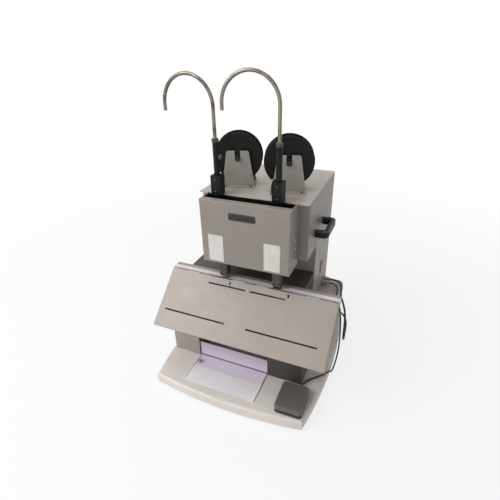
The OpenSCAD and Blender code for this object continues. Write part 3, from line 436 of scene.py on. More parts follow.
def clear_selection():
    if bpy.context.object is not None and bpy.context.object.mode != "OBJECT":
        bpy.ops.object.mode_set(mode="OBJECT")
    bpy.ops.object.select_all(action="DESELECT")


def take(*pieces):
    clear_selection()
    for piece in pieces:
        piece.select_set(True)
    bpy.context.view_layer.objects.active = pieces[0]


def open_mesh(piece, kind="EDGE", everything=False):
    take(piece)
    bpy.ops.object.mode_set(mode="EDIT")
    bpy.ops.mesh.select_mode(type=kind)
    bpy.ops.mesh.select_all(action="SELECT" if everything else "DESELECT")


def close_mesh():
    bpy.ops.object.mode_set(mode="OBJECT")


def pick(piece, kind, test):
    """Selects the edges or faces that pass a test, in the open mesh."""
    mesh = bmesh.from_edit_mesh(piece.data)
    bpy.ops.mesh.select_all(action="DESELECT")
    found = [part for part in (mesh.edges if kind == "EDGE" else mesh.faces) if test(part)]
    for part in found:
        part.select_set(True)
    bmesh.update_edit_mesh(piece.data)
    if not found:
        raise RuntimeError(f"nothing to select on {piece.name}")


def cut(place, normal):
    """Cuts all faces of the open mesh along a plane."""
    bpy.ops.mesh.select_all(action="SELECT")
    bpy.ops.mesh.bisect(plane_co=place, plane_no=normal)


def draw_out(step):
    bpy.ops.mesh.extrude_region_move(TRANSFORM_OT_translate={"value": step})


def bridge_holes(piece, delete="FACE", kind="SINGLE"):
    """Deletes the selected faces of the open mesh, and joins the rims that they leave."""
    bpy.ops.mesh.delete(type=delete)
    bpy.ops.mesh.select_mode(type="EDGE")
    pick(piece, "EDGE", lambda edge: edge.is_boundary)
    bpy.ops.mesh.bridge_edge_loops(type=kind)


def middle_of(edge):
    return (edge.verts[0].co + edge.verts[1].co) / 2


def runs_along(edge, axis, least=0.9):
    return abs((edge.verts[1].co - edge.verts[0].co).normalized().dot(axis)) > least


def is_corner(edge, degrees=30):
    return len(edge.link_faces) == 2 and edge.calc_face_angle(0.0) > math.radians(degrees)


def top_rim(height):
    """Corner edges that lie level at a height in millimetres."""
    def test(edge):
        return all(abs(v.co.z - height * MM) < 0.05 * MM for v in edge.verts) and is_corner(edge)
    return test


def levels(points, axis, test=None):
    """The places in millimetres that points have along an axis, each once."""
    return sorted({round(co[axis] / MM, 2) for co in points if test is None or test(co)})


def freeze(piece):
    """Puts the piece's place into its mesh and its object at the origin."""
    take(piece)
    bpy.ops.object.transform_apply(location=True, rotation=True, scale=True)
    return piece


def outward(piece):
    open_mesh(piece, "VERT", everything=True)
    bpy.ops.mesh.remove_doubles(threshold=1e-6)
    bpy.ops.mesh.normals_make_consistent(inside=False)
    close_mesh()
    return piece


def modified(piece, kind, **values):
    take(piece)
    modifier = piece.modifiers.new(kind.lower(), kind)
    for name, value in values.items():
        setattr(modifier, name, value)
    bpy.ops.object.modifier_apply(modifier=modifier.name)
    return piece


def coat(piece, node):
    for material in finishes_of(node):
        piece.data.materials.append(material)
    return piece


def linked(name, data):
    piece = bpy.data.objects.new(name, data)
    bpy.context.scene.collection.objects.link(piece)
    return piece


def merged_copy(node, name, x=(), y=(), z=()):
    """A copy of a frame node with its triangles merged into flat faces, which stay cut along the given planes."""
    piece = linked(name, NODES[node].data.copy())
    piece.data.materials.clear()
    coat(piece, node)
    open_mesh(piece, "VERT", everything=True)
    bpy.ops.mesh.customdata_custom_splitnormals_clear()
    bpy.ops.mesh.remove_doubles(threshold=2e-6)
    bpy.ops.mesh.select_mode(type="EDGE")
    for normal, places in ((AXIS_X, x), (AXIS_Y, y), (AXIS_Z, z)):
        for place in places:
            cut(normal * place * MM, normal)
            bpy.ops.mesh.mark_seam()
    bpy.ops.mesh.select_all(action="SELECT")
    bpy.ops.mesh.dissolve_limited(angle_limit=math.radians(0.4), use_dissolve_boundaries=False, delimit={"SEAM"})
    bpy.ops.mesh.mark_seam(clear=True)
    close_mesh()
    return piece


def block(low, high, name="block"):
    """A box between two corners, to be worked further."""
    clear_selection()
    bpy.ops.mesh.primitive_cube_add(size=1.0, location=(low + high) / 2, scale=high - low)
    piece = freeze(bpy.context.object)
    piece.name = name
    return piece


def round_edges(piece, test, radius, segments=4):
    open_mesh(piece)
    pick(piece, "EDGE", test)
    bpy.ops.mesh.bevel(offset=radius, segments=segments, profile=0.5, affect="EDGES", clamp_overlap=True)
    close_mesh()
    return piece


def soften(piece, radius, segments=2, degrees=32):
    """Rounds all sharp edges a little. They get the piece's rubbed finish where it has one."""
    rubbed = len(piece.data.materials) - 1
    return modified(piece, "BEVEL", width=radius, segments=segments, limit_method="ANGLE", material=rubbed or -1,
                    angle_limit=math.radians(degrees), miter_outer="MITER_ARC", harden_normals=False)


def shade(piece, degrees):
    take(piece)
    bpy.ops.object.shade_smooth_by_angle(angle=math.radians(degrees))


def settle(piece, node, *more, smooth=32):
    """Gives a piece its finish and body, and lets it stand for its frame nodes."""
    if not piece.data.materials:
        piece.data.materials.append(finishes_of(node)[0])
    if piece.type == "MESH":
        shade(piece, smooth)
        modified(piece, "WEIGHTED_NORMAL", keep_sharp=True)
    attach(piece, BODY_OF[node])
    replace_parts(piece, node, *more)
    return piece


def plain(node, name, radius, segments=2, degrees=32, smooth=32, **cuts):
    """A frame node's copy that needs no more than softened edges, by a radius in millimetres."""
    return settle(soften(merged_copy(node, name, **cuts), radius * MM, segments, degrees), node, smooth=smooth)


def add_on(piece, body, slot, finish=None):
    """Settles a small piece that stands for no frame node of its own."""
    piece.data.materials.append(FINISHES[finish or slot])
    shade(piece, 32)
    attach(piece, body)
    return piece


def turned(name, start, axis, profile, sides=48, bored=False):
    """A piece from the lathe: a disc is drawn out along the axis and scaled to each radius in turn.
    The profile lists radius and place along the axis in millimetres."""
    profile = [(r * MM, h * MM) for r, h in profile]
    clear_selection()
    bpy.ops.mesh.primitive_circle_add(
        vertices=sides, radius=profile[0][0], fill_type="NGON", location=start + axis * profile[0][1],
        rotation=AXIS_Z.rotation_difference(axis).to_euler())
    piece = bpy.context.object
    piece.name = name
    open_mesh(piece, "FACE", everything=True)
    for (last_r, last_h), (r, h) in zip(profile, profile[1:]):
        draw_out(axis * (h - last_h))
        if r != last_r:
            bpy.ops.transform.resize(value=(r / last_r,) * 3, center_override=start + axis * h)
    close_mesh()
    freeze(piece)
    if bored:
        open_mesh(piece, "FACE")
        pick(piece, "FACE", lambda face: len(face.verts) == sides)
        bridge_holes(piece, "ONLY_FACE")
        close_mesh()
    return outward(piece)


def swept(name, points, diameter, around, smooth=False):
    """A round wire along points, as a curve."""
    line = bpy.data.curves.new(name, "CURVE")
    line.dimensions = "3D"
    line.bevel_depth, line.bevel_resolution = diameter / 2, around
    line.use_fill_caps = True
    spline = line.splines.new("BEZIER" if smooth else "POLY")
    if smooth:
        line.resolution_u = 10
        spline.bezier_points.add(len(points) - 1)
        for knot, point in zip(spline.bezier_points, points):
            knot.co = point
            knot.handle_left_type = knot.handle_right_type = "AUTO"
    else:
        spline.points.add(len(points) - 1)
        for knot, point in zip(spline.points, points):
            knot.co = (*point, 1.0)
    return linked(name, line)


def meshed(piece):
    take(piece)
    bpy.ops.object.convert(target="MESH")
    return outward(bpy.context.object)


def joined(pieces):
    take(*pieces)
    bpy.ops.object.join()
    return bpy.context.object


def copies(piece, places):
    """The piece and its copies, one for each matrix, joined into one mesh."""
    made = []
    for place in places:
        made.append(linked(piece.name, piece.data.copy()))
        made[-1].data.transform(place)
    name = piece.name
    bpy.data.objects.remove(piece)
    whole = joined(made)
    whole.name = name
    return whole


def at(x, y, z, axis="X", degrees=0):
    """A place in millimetres, turned about an axis, as a matrix."""
    return Matrix.Translation(mm(x, y, z)) @ Matrix.Rotation(math.radians(degrees), 4, axis)


def screw_heads(name, radius, height, places):
    """Button heads with a socket, one for each matrix."""
    profile = [(1.0, 0.0), (1.0, 0.42), (0.9, 0.75), (0.7, 0.96), (0.46, 1.0), (0.42, 0.94), (0.4, 0.45)]
    return copies(turned(name, Vector(), AXIS_Z, [(r * radius, h * height) for r, h in profile], 24), places)


# The stage: places in millimetres, widths of the lamps and the floor in metres, power in watts

CAMERA_AT = mm(397.9, -970.5, 970.8)
CAMERA_YAW, CAMERA_PITCH, CAMERA_ROLL = (math.radians(a) for a in (23.65, 28.63, -1.33))
CAMERA_LENS = 27.14
LAMPS = (("soft_key", (-1700, -1500, 2200), 1.7, 45), ("soft_top", (-200, 500, 2500), 1.8, 14),
         ("soft_front", (-500, -2000, 800), 1.4, 6))
LAMP_AIM = mm(0, 0, 400)
SURROUND_LIGHT = 0.27
FLOOR_SIZE, FLOOR_AT = 80.0, mm(0, 0, -0.4)

# Places taken from the frame's drawing, in millimetres

BASE_TOP = 38
HOUSING_TOP, HOUSING_VENTS, PASSAGE_Y, PASSAGE_CLEAR = 165, (68, 130), 236, 20
FEET_X, FEET_Y = (-190, 190), (-230, 230)
GLAND_YS, GLAND_Z, GLAND_FROM, GLAND_TO = (228, 255), 178, 168, 194
PEDAL_TURN = math.radians(1)
PEDAL_AT = (196, -227, 38)
PEDAL_ROUTE = (
    (209.5, 227.6, 177.6), (219, 223.4, 176.2), (226, 215, 174.4), (230, 203.5, 172.6), (232, 189, 171),
    (234, 172, 169.8), (237.5, 154, 169.2), (243.5, 136.5, 168.4), (251.5, 120.5, 165), (259, 107.5, 156.5),
    (265, 97.5, 142.5), (269.2, 90, 122), (272, 84, 97), (274.2, 78, 70), (276, 69.5, 43), (276.8, 56, 21.5),
    (276.8, 37, 8), (276.6, 13, 4), (276, -12, 5), (276, -36, 14.5), (275.4, -56, 29.5), (271.8, -71, 40.5),
    (264, -83, 44), (254, -94.5, 42.7), (243, -106, 42.2), (231.5, -117.5, 41.8), (221.5, -129, 42.3),
    (214.5, -140, 43.8), (210.5, -152.5, 45.5))
PEDAL_CORD_IN = (14, 50, 9)
MAINS_ROUTE = (
    (213, 254.4, 177.9), (225.2, 250, 176.8), (234.9, 241.3, 175.2), (241.2, 228.8, 173.6), (244.2, 212, 172.2),
    (246, 195, 171.2), (249, 178, 169.8), (254.5, 162.5, 166.5), (262.5, 149, 159.5), (270, 137, 148.5),
    (276, 127, 133), (279.6, 119, 112.5), (281.2, 113.5, 90.5), (281.8, 110.8, 68), (282, 111.5, 45),
    (282, 119, 25.5), (281.5, 133, 12), (280.5, 152, 5.5), (278.5, 178, 5), (276.5, 204, 5), (273, 232, 5),
    (265.5, 259.5, 5), (252, 283, 5), (230.5, 301.5, 5), (200, 312.5, 5), (160, 316, 5), (115, 316.2, 5))
COIL_AT, COIL_PITCH, COIL_TURNS, COIL_MID_R, COIL_LOW, COIL_LEAD = (60, 367), 8.6, 2.5, 40, 5.0, 52
COIL_STEPS = 24
COVER_FRONT, COVER_SCREW_X, COVER_SCREW_Y, COVER_SCREW_ZS = -105, 137, -55, (417, 456, 483)
BACK_SCREW_X, BACK_Y, BACK_SCREW_ZS = 153.5, 286, (185, 376.5, 563)
TOP_SCREW_X, TOP_SCREW_YS, TOP_Z = 136, (-11, 266), 588
TABLE_SLOPE = math.radians(42)
TABLE_AXIS = mm(0, -67.31, 308)
TABLE_TOP, TABLE_SHEET, TABLE_WING = 7.0, 2.5, -30.0
# Both ends and the place of each black trough that paints shade under the table's slots: the last one stops short of
# the right box
SLOT_SHADE_TROUGHS = ((-257, -43, -138.3), (27, 247, -138.3), (-137, -8, -23.3), (8, 87, -23.3))
TRAY_WALL_FROM = 90
NOSE_XS, NOSE_FRONT, NOSE_SCREW_DXS, NOSE_SCREW_ZS = (-88, 88), -73.3, (-8, 8), (334, 352, 378)
REEL_TURN = math.radians(18)
REEL_Z, REEL_Y, REEL_X, REEL_SHIFT = 674, 67, 80, -6
STAND_TOP, STAND_FOOT, STAND_SCREW_XS, STAND_SCREW_YS = 23, -83, (-38, 38), (-43, 43)
GUIDE_XS, GUIDE_Y, CLAMP_FRONT, CLAMP_SCREW_ZS = (-104, 82), -45, -60, (600, 634)


def pedal_point(x, y, z):
    turn = Matrix.Rotation(PEDAL_TURN, 3, "Z")
    return (turn @ Vector((x, y, z)) + Vector(PEDAL_AT)) * MM


def reel_place(side):
    return Matrix.Translation(mm(REEL_SHIFT + side * REEL_X, REEL_Y, REEL_Z)) @ Matrix.Rotation(REEL_TURN, 4, "Z")


def coil_point(angle):
    """A point of the mains cord's coil: in along the lower layer, up, and out along the upper one."""
    layer = 360 * COIL_TURNS
    inner = COIL_MID_R - COIL_PITCH * COIL_TURNS / 2
    if angle < layer:
        radius, height = inner + COIL_PITCH * (layer - angle) / 360, 0.0
    elif angle < layer + 180:
        radius, height = inner, COIL_PITCH * (1 - math.cos(math.radians(angle - layer))) / 2
    else:
        radius, height = inner + COIL_PITCH * (angle - layer - 180) / 360, COIL_PITCH
    turn = math.radians(-90 - angle)
    return mm(COIL_AT[0] + radius * math.cos(turn), COIL_AT[1] + radius * math.sin(turn), COIL_LOW + height)


def helix(radius, pitch, turns, steps):
    """Points of a helix: two across its axis, and the one along it."""
    for i in range(turns * steps + 1):
        angle = 2 * math.pi * i / steps
        yield radius * math.cos(angle), radius * math.sin(angle), pitch * i / steps


class STITCHER_OT_stage(bpy.types.Operator):
    """Camera, pale floor, even surrounding light and three soft lamps"""
    bl_idname = "stitcher.stage"
    bl_label = "Stage"

    def execute(self, context):
        context.scene.view_settings.view_transform = "Standard"
        self.camera()
        self.surround()
        self.floor()
        for name, place, width, power in LAMPS:
            self.lamp(name, mm(*place), width, power)
        return {"FINISHED"}

    def camera(self):
        ahead = Vector((-math.sin(CAMERA_YAW) * math.cos(CAMERA_PITCH),
                        math.cos(CAMERA_YAW) * math.cos(CAMERA_PITCH), -math.sin(CAMERA_PITCH)))
        level = Vector((math.cos(CAMERA_YAW), math.sin(CAMERA_YAW), 0))
        above = level.cross(ahead)
        right = math.cos(CAMERA_ROLL) * level + math.sin(CAMERA_ROLL) * above
        up = math.cos(CAMERA_ROLL) * above - math.sin(CAMERA_ROLL) * level
        data = bpy.data.cameras.new("camera")
        data.lens, data.sensor_width = CAMERA_LENS, 36.0
        camera = linked("camera", data)
        camera.matrix_world = Matrix.Translation(CAMERA_AT) @ Matrix((right, up, -ahead)).transposed().to_4x4()
        bpy.context.scene.camera = camera

    def surround(self):
        world = bpy.data.worlds.new("surround")
        tree = Tree(world)
        light = tree.fill(tree.nodes["Background"], Color=(1.0, 0.985, 0.965), Strength=SURROUND_LIGHT)
        tree.blend(tree.seen_directly(), light, tree.node("Background", Color=(1.0, 1.0, 1.0)), "World Output")
        bpy.context.scene.world = world

    def floor(self):
        """A matt floor that glows for the camera, more so away from the object, so that only shadows show."""
        clear_selection()
        bpy.ops.mesh.primitive_plane_add(size=FLOOR_SIZE, location=FLOOR_AT)
        floor = bpy.context.object
        floor.name = "studio_floor"
        material = bpy.data.materials.new("studio_floor")
        tree = Tree(material)
        tree.nodes.remove(tree.nodes["Principled BSDF"])
        away = tree.node("VectorMath")
        away.operation = "LENGTH"
        tree.feed(away.inputs[0], tree.node("TexCoord").outputs["Object"])
        share = tree.calc("MULTIPLY", tree.seen_directly(), tree.ramp(away.outputs["Value"], 0.5, 2.2, 0.8, 1.0))
        tree.blend(share, tree.node("BsdfDiffuse", Color=(0.93, 0.925, 0.92)),
                   tree.node("Emission", Color=(1.0, 1.0, 1.0)), "Material Output")
        floor.data.materials.append(material)

    def lamp(self, name, place, width, power):
        data = bpy.data.lights.new(name, "AREA")
        data.size, data.energy = width, power
        lamp = linked(name, data)
        lamp.location = place
        lamp.rotation_euler = (LAMP_AIM - place).to_track_quat("-Z", "Y").to_euler()


class STITCHER_OT_finishes(bpy.types.Operator):
    """Mixes the paints and other finishes, and gives each frame node its own"""
    bl_idname = "stitcher.finishes"
    bl_label = "Finishes"

    def execute(self, context):
        make_finishes()
        for node, piece in NODES.items():
            piece.data.materials.clear()
            piece.data.materials.append(finishes_of(node)[0])
        return {"FINISHED"}


class STITCHER_OT_cords(bpy.types.Operator):
    """Pedal cord, and mains cord with its coil, tie, plug and strain reliefs"""
    bl_idname = "stitcher.cords"
    bl_label = "Cords"

    def execute(self, context):
        self.strain_reliefs()
        self.pedal_cord()
        self.mains_cord()
        return {"FINISHED"}

    def strain_reliefs(self):
        """A flange and a sleeve with four rings, which grows slimmer to its end."""
        flange, end, pitch = 4.0, GLAND_TO - GLAND_FROM, 5.2
        profile = [(6, -9), (6, 0), (9.4, 0), (10, 0.6), (10, flange - 0.6), (9.4, flange), (8, flange)]
        for ring in range(4):
            near, far = flange + 1 + ring * pitch, flange + 4.2 + ring * pitch
            wide, slim = (8 - 3 * (h - flange) / (end - flange) for h in (near, far))
            profile += [(wide, near), (slim, far), (slim - 0.9, far + 0.2), (slim - 0.9, far + 0.9)]
        profile += [(5.0, end - 0.3), (4.4, end)]
        made = [turned("strain_reliefs", mm(GLAND_FROM, y, GLAND_Z), AXIS_X, profile, 40) for y in GLAND_YS]
        settle(joined(made), "cord_glands")

    def pedal_cord(self):
        diameter = sizes().pedal_cord_d
        start = mm(GLAND_TO, GLAND_YS[0], GLAND_Z)
        end, inward = pedal_point(*PEDAL_CORD_IN), Vector((math.sin(PEDAL_TURN), -math.cos(PEDAL_TURN), 0))
        points = [start, start + AXIS_X * diameter, *(mm(*p) for p in PEDAL_ROUTE), end - inward * diameter, end]
        cord = swept("pedal_cord_run", points, diameter, 4, smooth=True)
        settle(cord, "pedal_cord")

    def mains_cord(self):
        diameter = sizes().mains_cord_d
        start = mm(GLAND_TO, GLAND_YS[1], GLAND_Z)
        last = int((2 * COIL_TURNS + 0.5) * COIL_STEPS)
        coil = [coil_point(360 * i / COIL_STEPS) for i in range(last + 1)]
        lead = [coil[-1] + mm(x, 0, 0) for x in (18, 36, COIL_LEAD)]
        points = [start, start + AXIS_X * diameter, *(mm(*p) for p in MAINS_ROUTE), *coil, *lead]
        cord = swept("mains_cord_run", points, diameter, 4, smooth=True)
        settle(cord, "mains_cord", "mains_coil")
        on_cord = [*self.plug(lead[-1]), self.tie()]

    def plug(self, entry):
        """Moulded plug: a ribbed neck, a waisted body and two pins."""
        neck = [(3.7, 0.0), (5.2, 0.4), (5.6, 3), (5.0, 3.4), (5.0, 4.6), (6.4, 5), (6.8, 8), (6.2, 8.4), (6.2, 9.6)]
        grip = [(8.4, 10.5), (11.6, 15), (12.6, 22), (12.8, 36), (12.2, 40.5), (11.0, 42)]
        body = turned("plug_body", entry, AXIS_X, neck + grip, 48)
        open_mesh(body, "VERT", everything=True)
        bpy.ops.transform.resize(value=(1, 1, 0.86), center_override=entry)
        close_mesh()
        pins = [turned("plug_pin", entry + mm(0, y, 0), AXIS_X, [(2.4, 41), (2.4, 59.6), (2.0, 60.6), (1.0, 61)], 24)
                for y in (-7.6, 7.6)]
        pins = add_on(joined(pins), "machine", "bare_steel")
        settle(body, "mains_plug")
        return body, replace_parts(pins, "mains_plug")

    def tie(self):
        """A flat band round the loops: a block with round edges, hollowed from end to end."""
        tie = coat(block(*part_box("coil_tie"), "coil_tie_band"), "coil_tie")
        round_edges(tie, lambda edge: runs_along(edge, AXIS_Y), 2.0 * MM)
        open_mesh(tie, "FACE")
        pick(tie, "FACE", lambda face: abs(face.normal.y) > 0.9)
        bpy.ops.mesh.inset(thickness=1.2 * MM, use_individual=True)
        bridge_holes(tie)
        close_mesh()
        return settle(soften(outward(tie), 0.25 * MM), "coil_tie")


class STITCHER_OT_base(bpy.types.Operator):
    """Bowed base with its rolled rim, low rear housing and rubber feet"""
    bl_idname = "stitcher.base"
    bl_label = "Base"

    def execute(self, context):
        base = round_edges(merged_copy("base_shell", "base_casing"), top_rim(BASE_TOP), sizes().base_round, 6)
        settle(soften(base, 0.8 * MM), "base_shell")
        self.housing()
        plain("rubber_feet", "feet", 2, 3)
        plain("base_plate", "floor_plate", 0.5, x=FEET_X, y=FEET_Y)
        return {"FINISHED"}

    def housing(self):
        corners = [v.co for v in NODES["rear_housing"].data.vertices]
        vents = levels(corners, 0, lambda co: abs(co.z - HOUSING_VENTS[0] * MM) < 0.05 * MM)
        housing = merged_copy("rear_housing", "low_housing", (0, *vents), (PASSAGE_Y,), HOUSING_VENTS)
        passage, rim = mm(0, PASSAGE_Y, HOUSING_TOP), top_rim(HOUSING_TOP)
        outer = lambda edge: rim(edge) and (middle_of(edge) - passage).length > PASSAGE_CLEAR * MM
        round_edges(housing, outer, sizes().housing_round, 5)
        settle(soften(housing, 0.6 * MM), "rear_housing")


class STITCHER_OT_column(bpy.types.Operator):
    """Welded column with its side covers and vented rear cover"""
    bl_idname = "stitcher.column"
    bl_label = "Column"

    def execute(self, context):
        round_to = sizes().sheet_round / MM
        plain("column_frame", "column_weldment", 1.4, 3)
        plain("column_covers", "column_sides", round_to, y=GLAND_YS, z=(GLAND_Z,))
        plain("rear_cover", "vented_back", round_to * 0.6)
        return {"FINISHED"}


class STITCHER_OT_head(bpy.types.Operator):
    """Head housing, top plate, front cover, wire trough and the bare plates"""
    bl_idname = "stitcher.head"
    bl_label = "Head"

    def execute(self, context):
        round_to = sizes().sheet_round / MM
        plain("main_housing", "head_housing", round_to, 3)
        plain("top_plate", "head_top", round_to * 0.8, 3)
        cover = merged_copy("front_cover", "head_front", y=(COVER_SCREW_Y,), z=COVER_SCREW_ZS)
        front = lambda edge: is_corner(edge) and middle_of(edge).y < (COVER_FRONT + 0.1) * MM
        round_edges(cover, front, 2.4 * MM)
        settle(soften(cover, round_to * 0.5 * MM), "front_cover")
        plain("wire_trough", "trough_tub", 0.7)
        for node, name, corner in (("name_plate", "bare_name_plate", 1.5), ("label_plates", "bare_labels", 2.0)):
            plate = merged_copy(node, name)
            round_edges(plate, lambda edge: is_corner(edge) and runs_along(edge, AXIS_Y), corner * MM)
            settle(soften(plate, 0.2 * MM), node)
        return {"FINISHED"}


class STITCHER_OT_table(bpy.types.Operator):
    """Sloped table with folded edges, its hinge, the ridge rail with its ruler, and the throat"""
    bl_idname = "stitcher.table"
    bl_label = "Table and ridge"

    def execute(self, context):
        self.raised = Matrix.Translation(TABLE_AXIS) @ Matrix.Rotation(TABLE_SLOPE, 4, "X")
        self.table()
        # Black troughs under the slots, as painted shade
        self.gauge_channels()
        for node, name in (("ridge_rail", "ridge_strip"), ("throat_plate", "throat_sheet"),
                           ("saddle_arm", "saddle_beam"), ("clinchers", "clincher_blocks")):
            plain(node, name, sizes().casting_round / MM * 0.7)
        plain("ruler_strip", "ruler_scale", 0.2)
        plain("table_hinge_pin", "hinge_rod", 0.4)
        return {"FINISHED"}

    def table(self):
        """The table is made lying flat: a folded sheet with slots, and bored hinge knuckles on webs."""
        drawn = merged_copy("front_table", "table_drawing")
        drawn.data.transform(self.raised.inverted())
        corners = [v.co.copy() for v in drawn.data.vertices]
        faces = [tuple(face.vertices) for face in drawn.data.polygons]
        bpy.data.objects.remove(drawn)
        sheet = soften(self.sheet(corners, BVHTree.FromPolygons(corners, faces)), 0.4 * MM)
        table = joined([sheet, *self.knuckles([co for co in corners if co.y > 0.5 * MM])])
        table.data.transform(self.raised)
        settle(table, "front_table")

    def gauge_channels(self):
        """Black troughs under the table's slots, put there as painted shade so that the slots read dark."""
        under, depth, wall, reach, half = TABLE_TOP - TABLE_SHEET, 4.0, 1.2, 4, 6
        made = []
        for left, right, y in SLOT_SHADE_TROUGHS:
            shade_trough = block(mm(left - reach, y - half, under - depth), mm(right + reach, y + half, under),
                            "gauge_channels")
            open_mesh(shade_trough, "FACE")
            pick(shade_trough, "FACE", lambda face: face.normal.z > 0.9)
            bpy.ops.mesh.inset(thickness=wall * MM)
            draw_out(mm(0, 0, wall - depth))
            close_mesh()
            made.append(soften(shade_trough, 0.4 * MM))
        shade_trough_set = joined(made)
        shade_trough_set.data.transform(self.raised)
        add_on(shade_trough_set, "table", "black_plastic")

    def knuckles(self, corners):
        reach = [math.hypot(co.y, co.z) / MM for co in corners]
        bore, barrel, edge, web = min(reach), max(reach), 0.3, 7
        ends = levels(corners, 0)
        made = []
        for left, right in zip(ends[::2], ends[1::2]):
            length = right - left
            profile = [(bore, 0), (barrel - edge, 0), (barrel, edge), (barrel, length - edge),
                       (barrel - edge, length), (bore, length)]
            made.append(turned("table_knuckle", mm(left, 0, 0), AXIS_X, profile, 32, bored=True))
            made.append(soften(block(mm(left, -web, -barrel / 2),
                                     mm(right, -bore - edge, TABLE_TOP - TABLE_SHEET + 0.1)), edge * MM))
        return made

    def sheet(self, corners, drawing):
        """A sheet cut along the edges of its slots, so that all its faces stay plain."""
        top, under = TABLE_TOP * MM, (TABLE_TOP - TABLE_SHEET) * MM
        xs, ys = (levels(corners, axis, lambda co: abs(co.z - top) < 0.05 * MM) for axis in (0, 1))
        lip = min(co.z for co in corners if co.y < (ys[0] + 1) * MM)
        sheet = block(mm(xs[0], ys[0], TABLE_TOP - TABLE_SHEET), mm(xs[-1], ys[-1], TABLE_TOP), "sloped_table")
        coat(sheet, "front_table")
        fold = ys[0] + TABLE_SHEET
        open_mesh(sheet, "FACE")
        for x in (*xs[1:-1], xs[0] + TABLE_SHEET, xs[-1] - TABLE_SHEET):
            cut(mm(x, 0, 0), AXIS_X)
        for y in (*ys[1:-1], fold, TABLE_WING):
            cut(mm(0, y, 0), AXIS_Y)

        def in_slot(face):
            spot = face.calc_center_median()
            if abs(face.normal.z) < 0.9:
                return False
            found = drawing.ray_cast(Vector((spot.x, spot.y, 2 * top)), -AXIS_Z)[0]
            return found is None or found.z < under + 0.1 * MM
        pick(sheet, "FACE", in_slot)
        bridge_holes(sheet, kind="PAIRS")
        bpy.ops.mesh.select_mode(type="FACE")

        def folded(face):
            spot = face.calc_center_median() / MM
            wing = abs(spot.x) > xs[-1] - TABLE_SHEET and spot.y < TABLE_WING
            return face.normal.z < -0.9 and (spot.y < fold or wing)
        pick(sheet, "FACE", folded)
        draw_out(Vector((0, 0, lip - under)))
        close_mesh()
        outward(sheet)

        def rim(edge):
            spot = middle_of(edge) / MM
            outer = spot.y < ys[0] + 0.01 or abs(spot.x) > xs[-1] - 0.01
            return outer and abs(spot.z - TABLE_TOP) < 0.01 and is_corner(edge, 80)
        return round_edges(sheet, rim, sizes().fold_round)


class STITCHER_OT_supports(bpy.types.Operator):
    """Folded boxes that carry the table, and the catch tray with its knob"""
    bl_idname = "stitcher.supports"
    bl_label = "Supports and tray"

    def execute(self, context):
        for word in SIDES.values():
            plain(f"table_support_{word}", f"{word}_box", sizes().sheet_round / MM, 3)
        tray = merged_copy("catch_tray", "tray_sheet")
        wall = lambda edge: is_corner(edge) and runs_along(edge, AXIS_Y) and middle_of(edge).z > TRAY_WALL_FROM * MM
        round_edges(tray, wall, 5 * MM)
        settle(soften(tray, 0.4 * MM), "catch_tray")
        low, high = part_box("tray_knob")
        foot = Vector(((low.x + high.x) / 2, (low.y + high.y) / 2, low.z))
        profile = [(4.4, 0), (4.4, 0.8), (3.4, 1.4), (3.2, 4.4), (5.4, 5.0), (6.3, 5.8), (6.5, 7.2), (6.5, 10.2),
                   (6.0, 11.4), (4.8, 12.0), (3.0, 11.7)]
        settle(turned("pull_knob", foot, AXIS_Z, profile, 40), "tray_knob")
        return {"FINISHED"}


class STITCHER_OT_stitch_heads(bpy.types.Operator):
    """Stitching heads with clamp screws, and their formers"""
    bl_idname = "stitcher.stitch_heads"
    bl_label = "Stitching heads"

    def execute(self, context):
        plain("stitch_heads", "head_blocks", sizes().casting_round / MM, 3)
        for word in SIDES.values():
            plain(f"former_{word}", f"{word}_former_bar", 0.5)
        places = [at(x + dx, NOSE_FRONT, z, "X", 90)
                  for x in NOSE_XS for dx in NOSE_SCREW_DXS for z in NOSE_SCREW_ZS]
        add_on(screw_heads("nose_screws", 2.6, 2.0, places), "machine", "bare_steel", "dark_steel")
        return {"FINISHED"}


